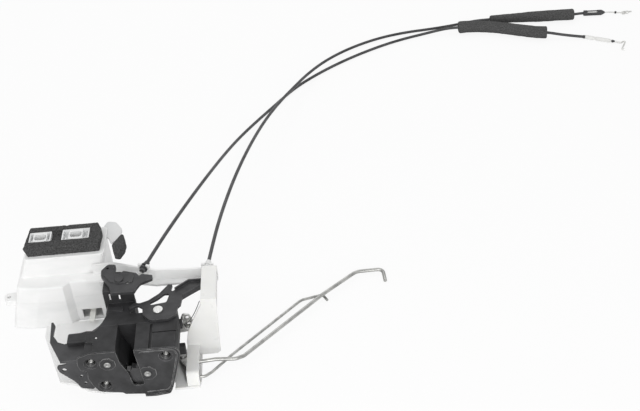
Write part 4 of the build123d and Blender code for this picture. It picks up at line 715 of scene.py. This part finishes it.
def nut_threads(name, finish):
    """One ridge per nut, wound as a helix along its bore."""
    mesh = bpy.data.meshes.new(name)
    shape = bmesh.new()
    count = int((THREAD_BACK - THREAD_FRONT) / THREAD_PITCH * THREAD_SEGMENTS)
    for x, z in SCREW_POINTS:
        rows = []
        for step in range(count + 1):
            angle = 2 * pi * step / THREAD_SEGMENTS
            y = THREAD_FRONT + THREAD_PITCH * step / THREAD_SEGMENTS
            row = [(THREAD_R, y - THREAD_FOOT), (THREAD_R - THREAD_DEPTH, y - THREAD_CREST),
                   (THREAD_R - THREAD_DEPTH, y + THREAD_CREST), (THREAD_R, y + THREAD_FOOT)]
            rows.append([shape.verts.new(placed(x + r * cos(angle), depth, z + r * sin(angle)))
                         for r, depth in row])
        for near, far in zip(rows, rows[1:]):
            for k in range(4):
                after = (k + 1) % 4
                shape.faces.new((near[k], near[after], far[after], far[k]))
        shape.faces.new(rows[0])
        shape.faces.new(reversed(rows[-1]))
    bmesh.ops.recalc_face_normals(shape, faces=shape.faces)
    shape.to_mesh(mesh)
    shape.free()
    return standing(bpy.data.objects.new(name, mesh), finish)


# The nuts' dark colour is painted shade for the hollow of the dishes.
nut_painted_shade = metal_finish("nut_painted_shade", dark=(0.035, 0.035, 0.035), light=(0.09, 0.09, 0.09),
                        low=0.2, high=0.36)
thread_bright = metal_finish("thread_bright", dark=(0.35, 0.35, 0.34), light=(0.6, 0.6, 0.58),
                             low=0.25, high=0.4)
dress(nut_painted_shade, "mount_nuts")
nut_threads("nut_threads", thread_bright)

# ---------------------------------------------------------------- pivot rivets and pins
# Zinc-plated rivets with dished heads, set in the raised pads of the plate and in the levers.
# The opening lever's rivet and the stop pin are the brightest.
rivet_zinc = metal_finish("rivet_zinc", dark=(0.30, 0.30, 0.295), light=(0.52, 0.52, 0.51),
                          low=0.25, high=0.42)
head_zinc = metal_finish("head_zinc", dark=(0.62, 0.62, 0.61), light=(0.82, 0.82, 0.81),
                         low=0.25, high=0.4)
dress(rivet_zinc, "claw_pivot", "pawl_pivot", "guide_rivets", "rod_lever_pin")
dress(head_zinc, "open_lever_rivet", "stop_pin")

# ---------------------------------------------------------------- latch body
# Two mouldings of glass-filled black nylon with a faint leathery grain; the rear one carries
# the neck. Its corners carry a painted highlight. The case's small switch is the same nylon.
# The light shade given for its edges is a painted highlight.
body_black = black_finish("body_black", dark=(0.023, 0.023, 0.024), light=(0.037, 0.037, 0.039),
                          low=0.45, high=0.6, bump=0.00012, edge=0.0006,
                          edge_highlight=(0.13, 0.13, 0.13), highlight_amount=0.8, shine=0.34)
dress(body_black, "latch_body", "rear_housing", "position_switch")

# ---------------------------------------------------------------- claw, pawl and bumper
# The claw and the pawl are steel blanks moulded over with glossy black plastic, lightly
# greased; a rubber buffer at the end of the channel stops the striker.
# The light shades given for their edges are painted highlights.
claw_black = black_finish("claw_black", dark=(0.032, 0.032, 0.033), light=(0.05, 0.05, 0.052),
                          low=0.16, high=0.3, bump=0.00004, edge=0.0005,
                          edge_highlight=(0.12, 0.12, 0.12), highlight_amount=0.6, shine=0.5)
bumper_rubber = black_finish("bumper_rubber", dark=(0.016, 0.016, 0.016),
                             light=(0.03, 0.03, 0.03), low=0.6, high=0.8, bump=0.0001,
                             edge=0.0004, edge_highlight=(0.05, 0.05, 0.05), highlight_amount=0.4, shine=0.3)
dress(claw_black, "claw", "pawl")
dress(bumper_rubber, "striker_bumper")

# ---------------------------------------------------------------- springs
# Wound from spring wire: the claw's spring is oiled and dark, the return spring of the rod
# levers is zinc plated and bright. A thin dark wire runs up along the water shield's left edge.
# Points of the thin dark wire along the water shield's left edge.
SHIELD_EDGE_WIRE = ((55.5, 53.3, 47), (57.0, 50.4, 49.5), (62, 49.2, 56), (68.4, 49.2, 67),
              (74.2, 49.2, 80.5))
SHIELD_EDGE_WIRE_R = 0.00045

spring_dark = metal_finish("spring_dark", dark=(0.2, 0.2, 0.2), light=(0.34, 0.34, 0.34),
                           low=0.3, high=0.45)
spring_bright = metal_finish("spring_bright", dark=(0.6, 0.6, 0.59), light=(0.85, 0.85, 0.83),
                             low=0.2, high=0.34)
dress(spring_dark, "claw_spring")
dress(spring_bright, "lever_spring", "spring_post")
drawn("shield_edge_wire", SHIELD_EDGE_WIRE, SHIELD_EDGE_WIRE_R, spring_dark)

# ---------------------------------------------------------------- back plate, slide and rod levers
# Zinc-plated pressings: the plate that closes the body from behind, the slide that lifts the
# pawl and the two levers of the rods.
plate_zinc = metal_finish("plate_zinc", dark=(0.55, 0.55, 0.54), light=(0.78, 0.78, 0.76),
                          low=0.26, high=0.42)
dress(plate_zinc, "back_plate", "release_slide", "key_lever", "outside_lever")

# ---------------------------------------------------------------- side bracket
# Pressed steel angle with the same kind of black coat as the plate. An upright with holes
# stands behind the plate's edge, and a flange runs back from its top.
# The light shade given for its edges is a painted highlight.
bracket_black = black_finish("bracket_black", dark=(0.042, 0.042, 0.044),
                             light=(0.062, 0.062, 0.065), low=0.34, high=0.5, bump=0.00006,
                             edge=0.0005, edge_highlight=(0.25, 0.25, 0.25), highlight_amount=0.8, shine=0.35)
dress(bracket_black, "side_bracket")

# ---------------------------------------------------------------- levers on the body
# Both levers are pressed steel with a black coat. The opening lever is channelled along its
# arm; the inside lever turns on the neck, and the cable's zinc barrel hangs in its tip.
# The light shade given for their edges is a painted highlight.
lever_black = black_finish("lever_black", dark=(0.036, 0.036, 0.038),
                           light=(0.054, 0.054, 0.056), low=0.34, high=0.5, bump=0.00006,
                           edge=0.0005, edge_highlight=(0.22, 0.22, 0.22), highlight_amount=0.8, shine=0.36)
dress(lever_black, "open_lever", "inside_lever", "inside_lever_pin")
dress(rivet_zinc, "cable_barrel")

# ---------------------------------------------------------------- rods and cable wires
# Bright zinc-plated wire rod, 4 and 3 mm thick, bent cold; the bare wires of the cables have
# the same colour.
rod_zinc = metal_finish("rod_zinc", dark=(0.38, 0.38, 0.37), light=(0.58, 0.58, 0.56),
                        low=0.26, high=0.4)
dress(rod_zinc, "key_rod", "outside_rod", "inside_cable_wire", "open_cable_wire")
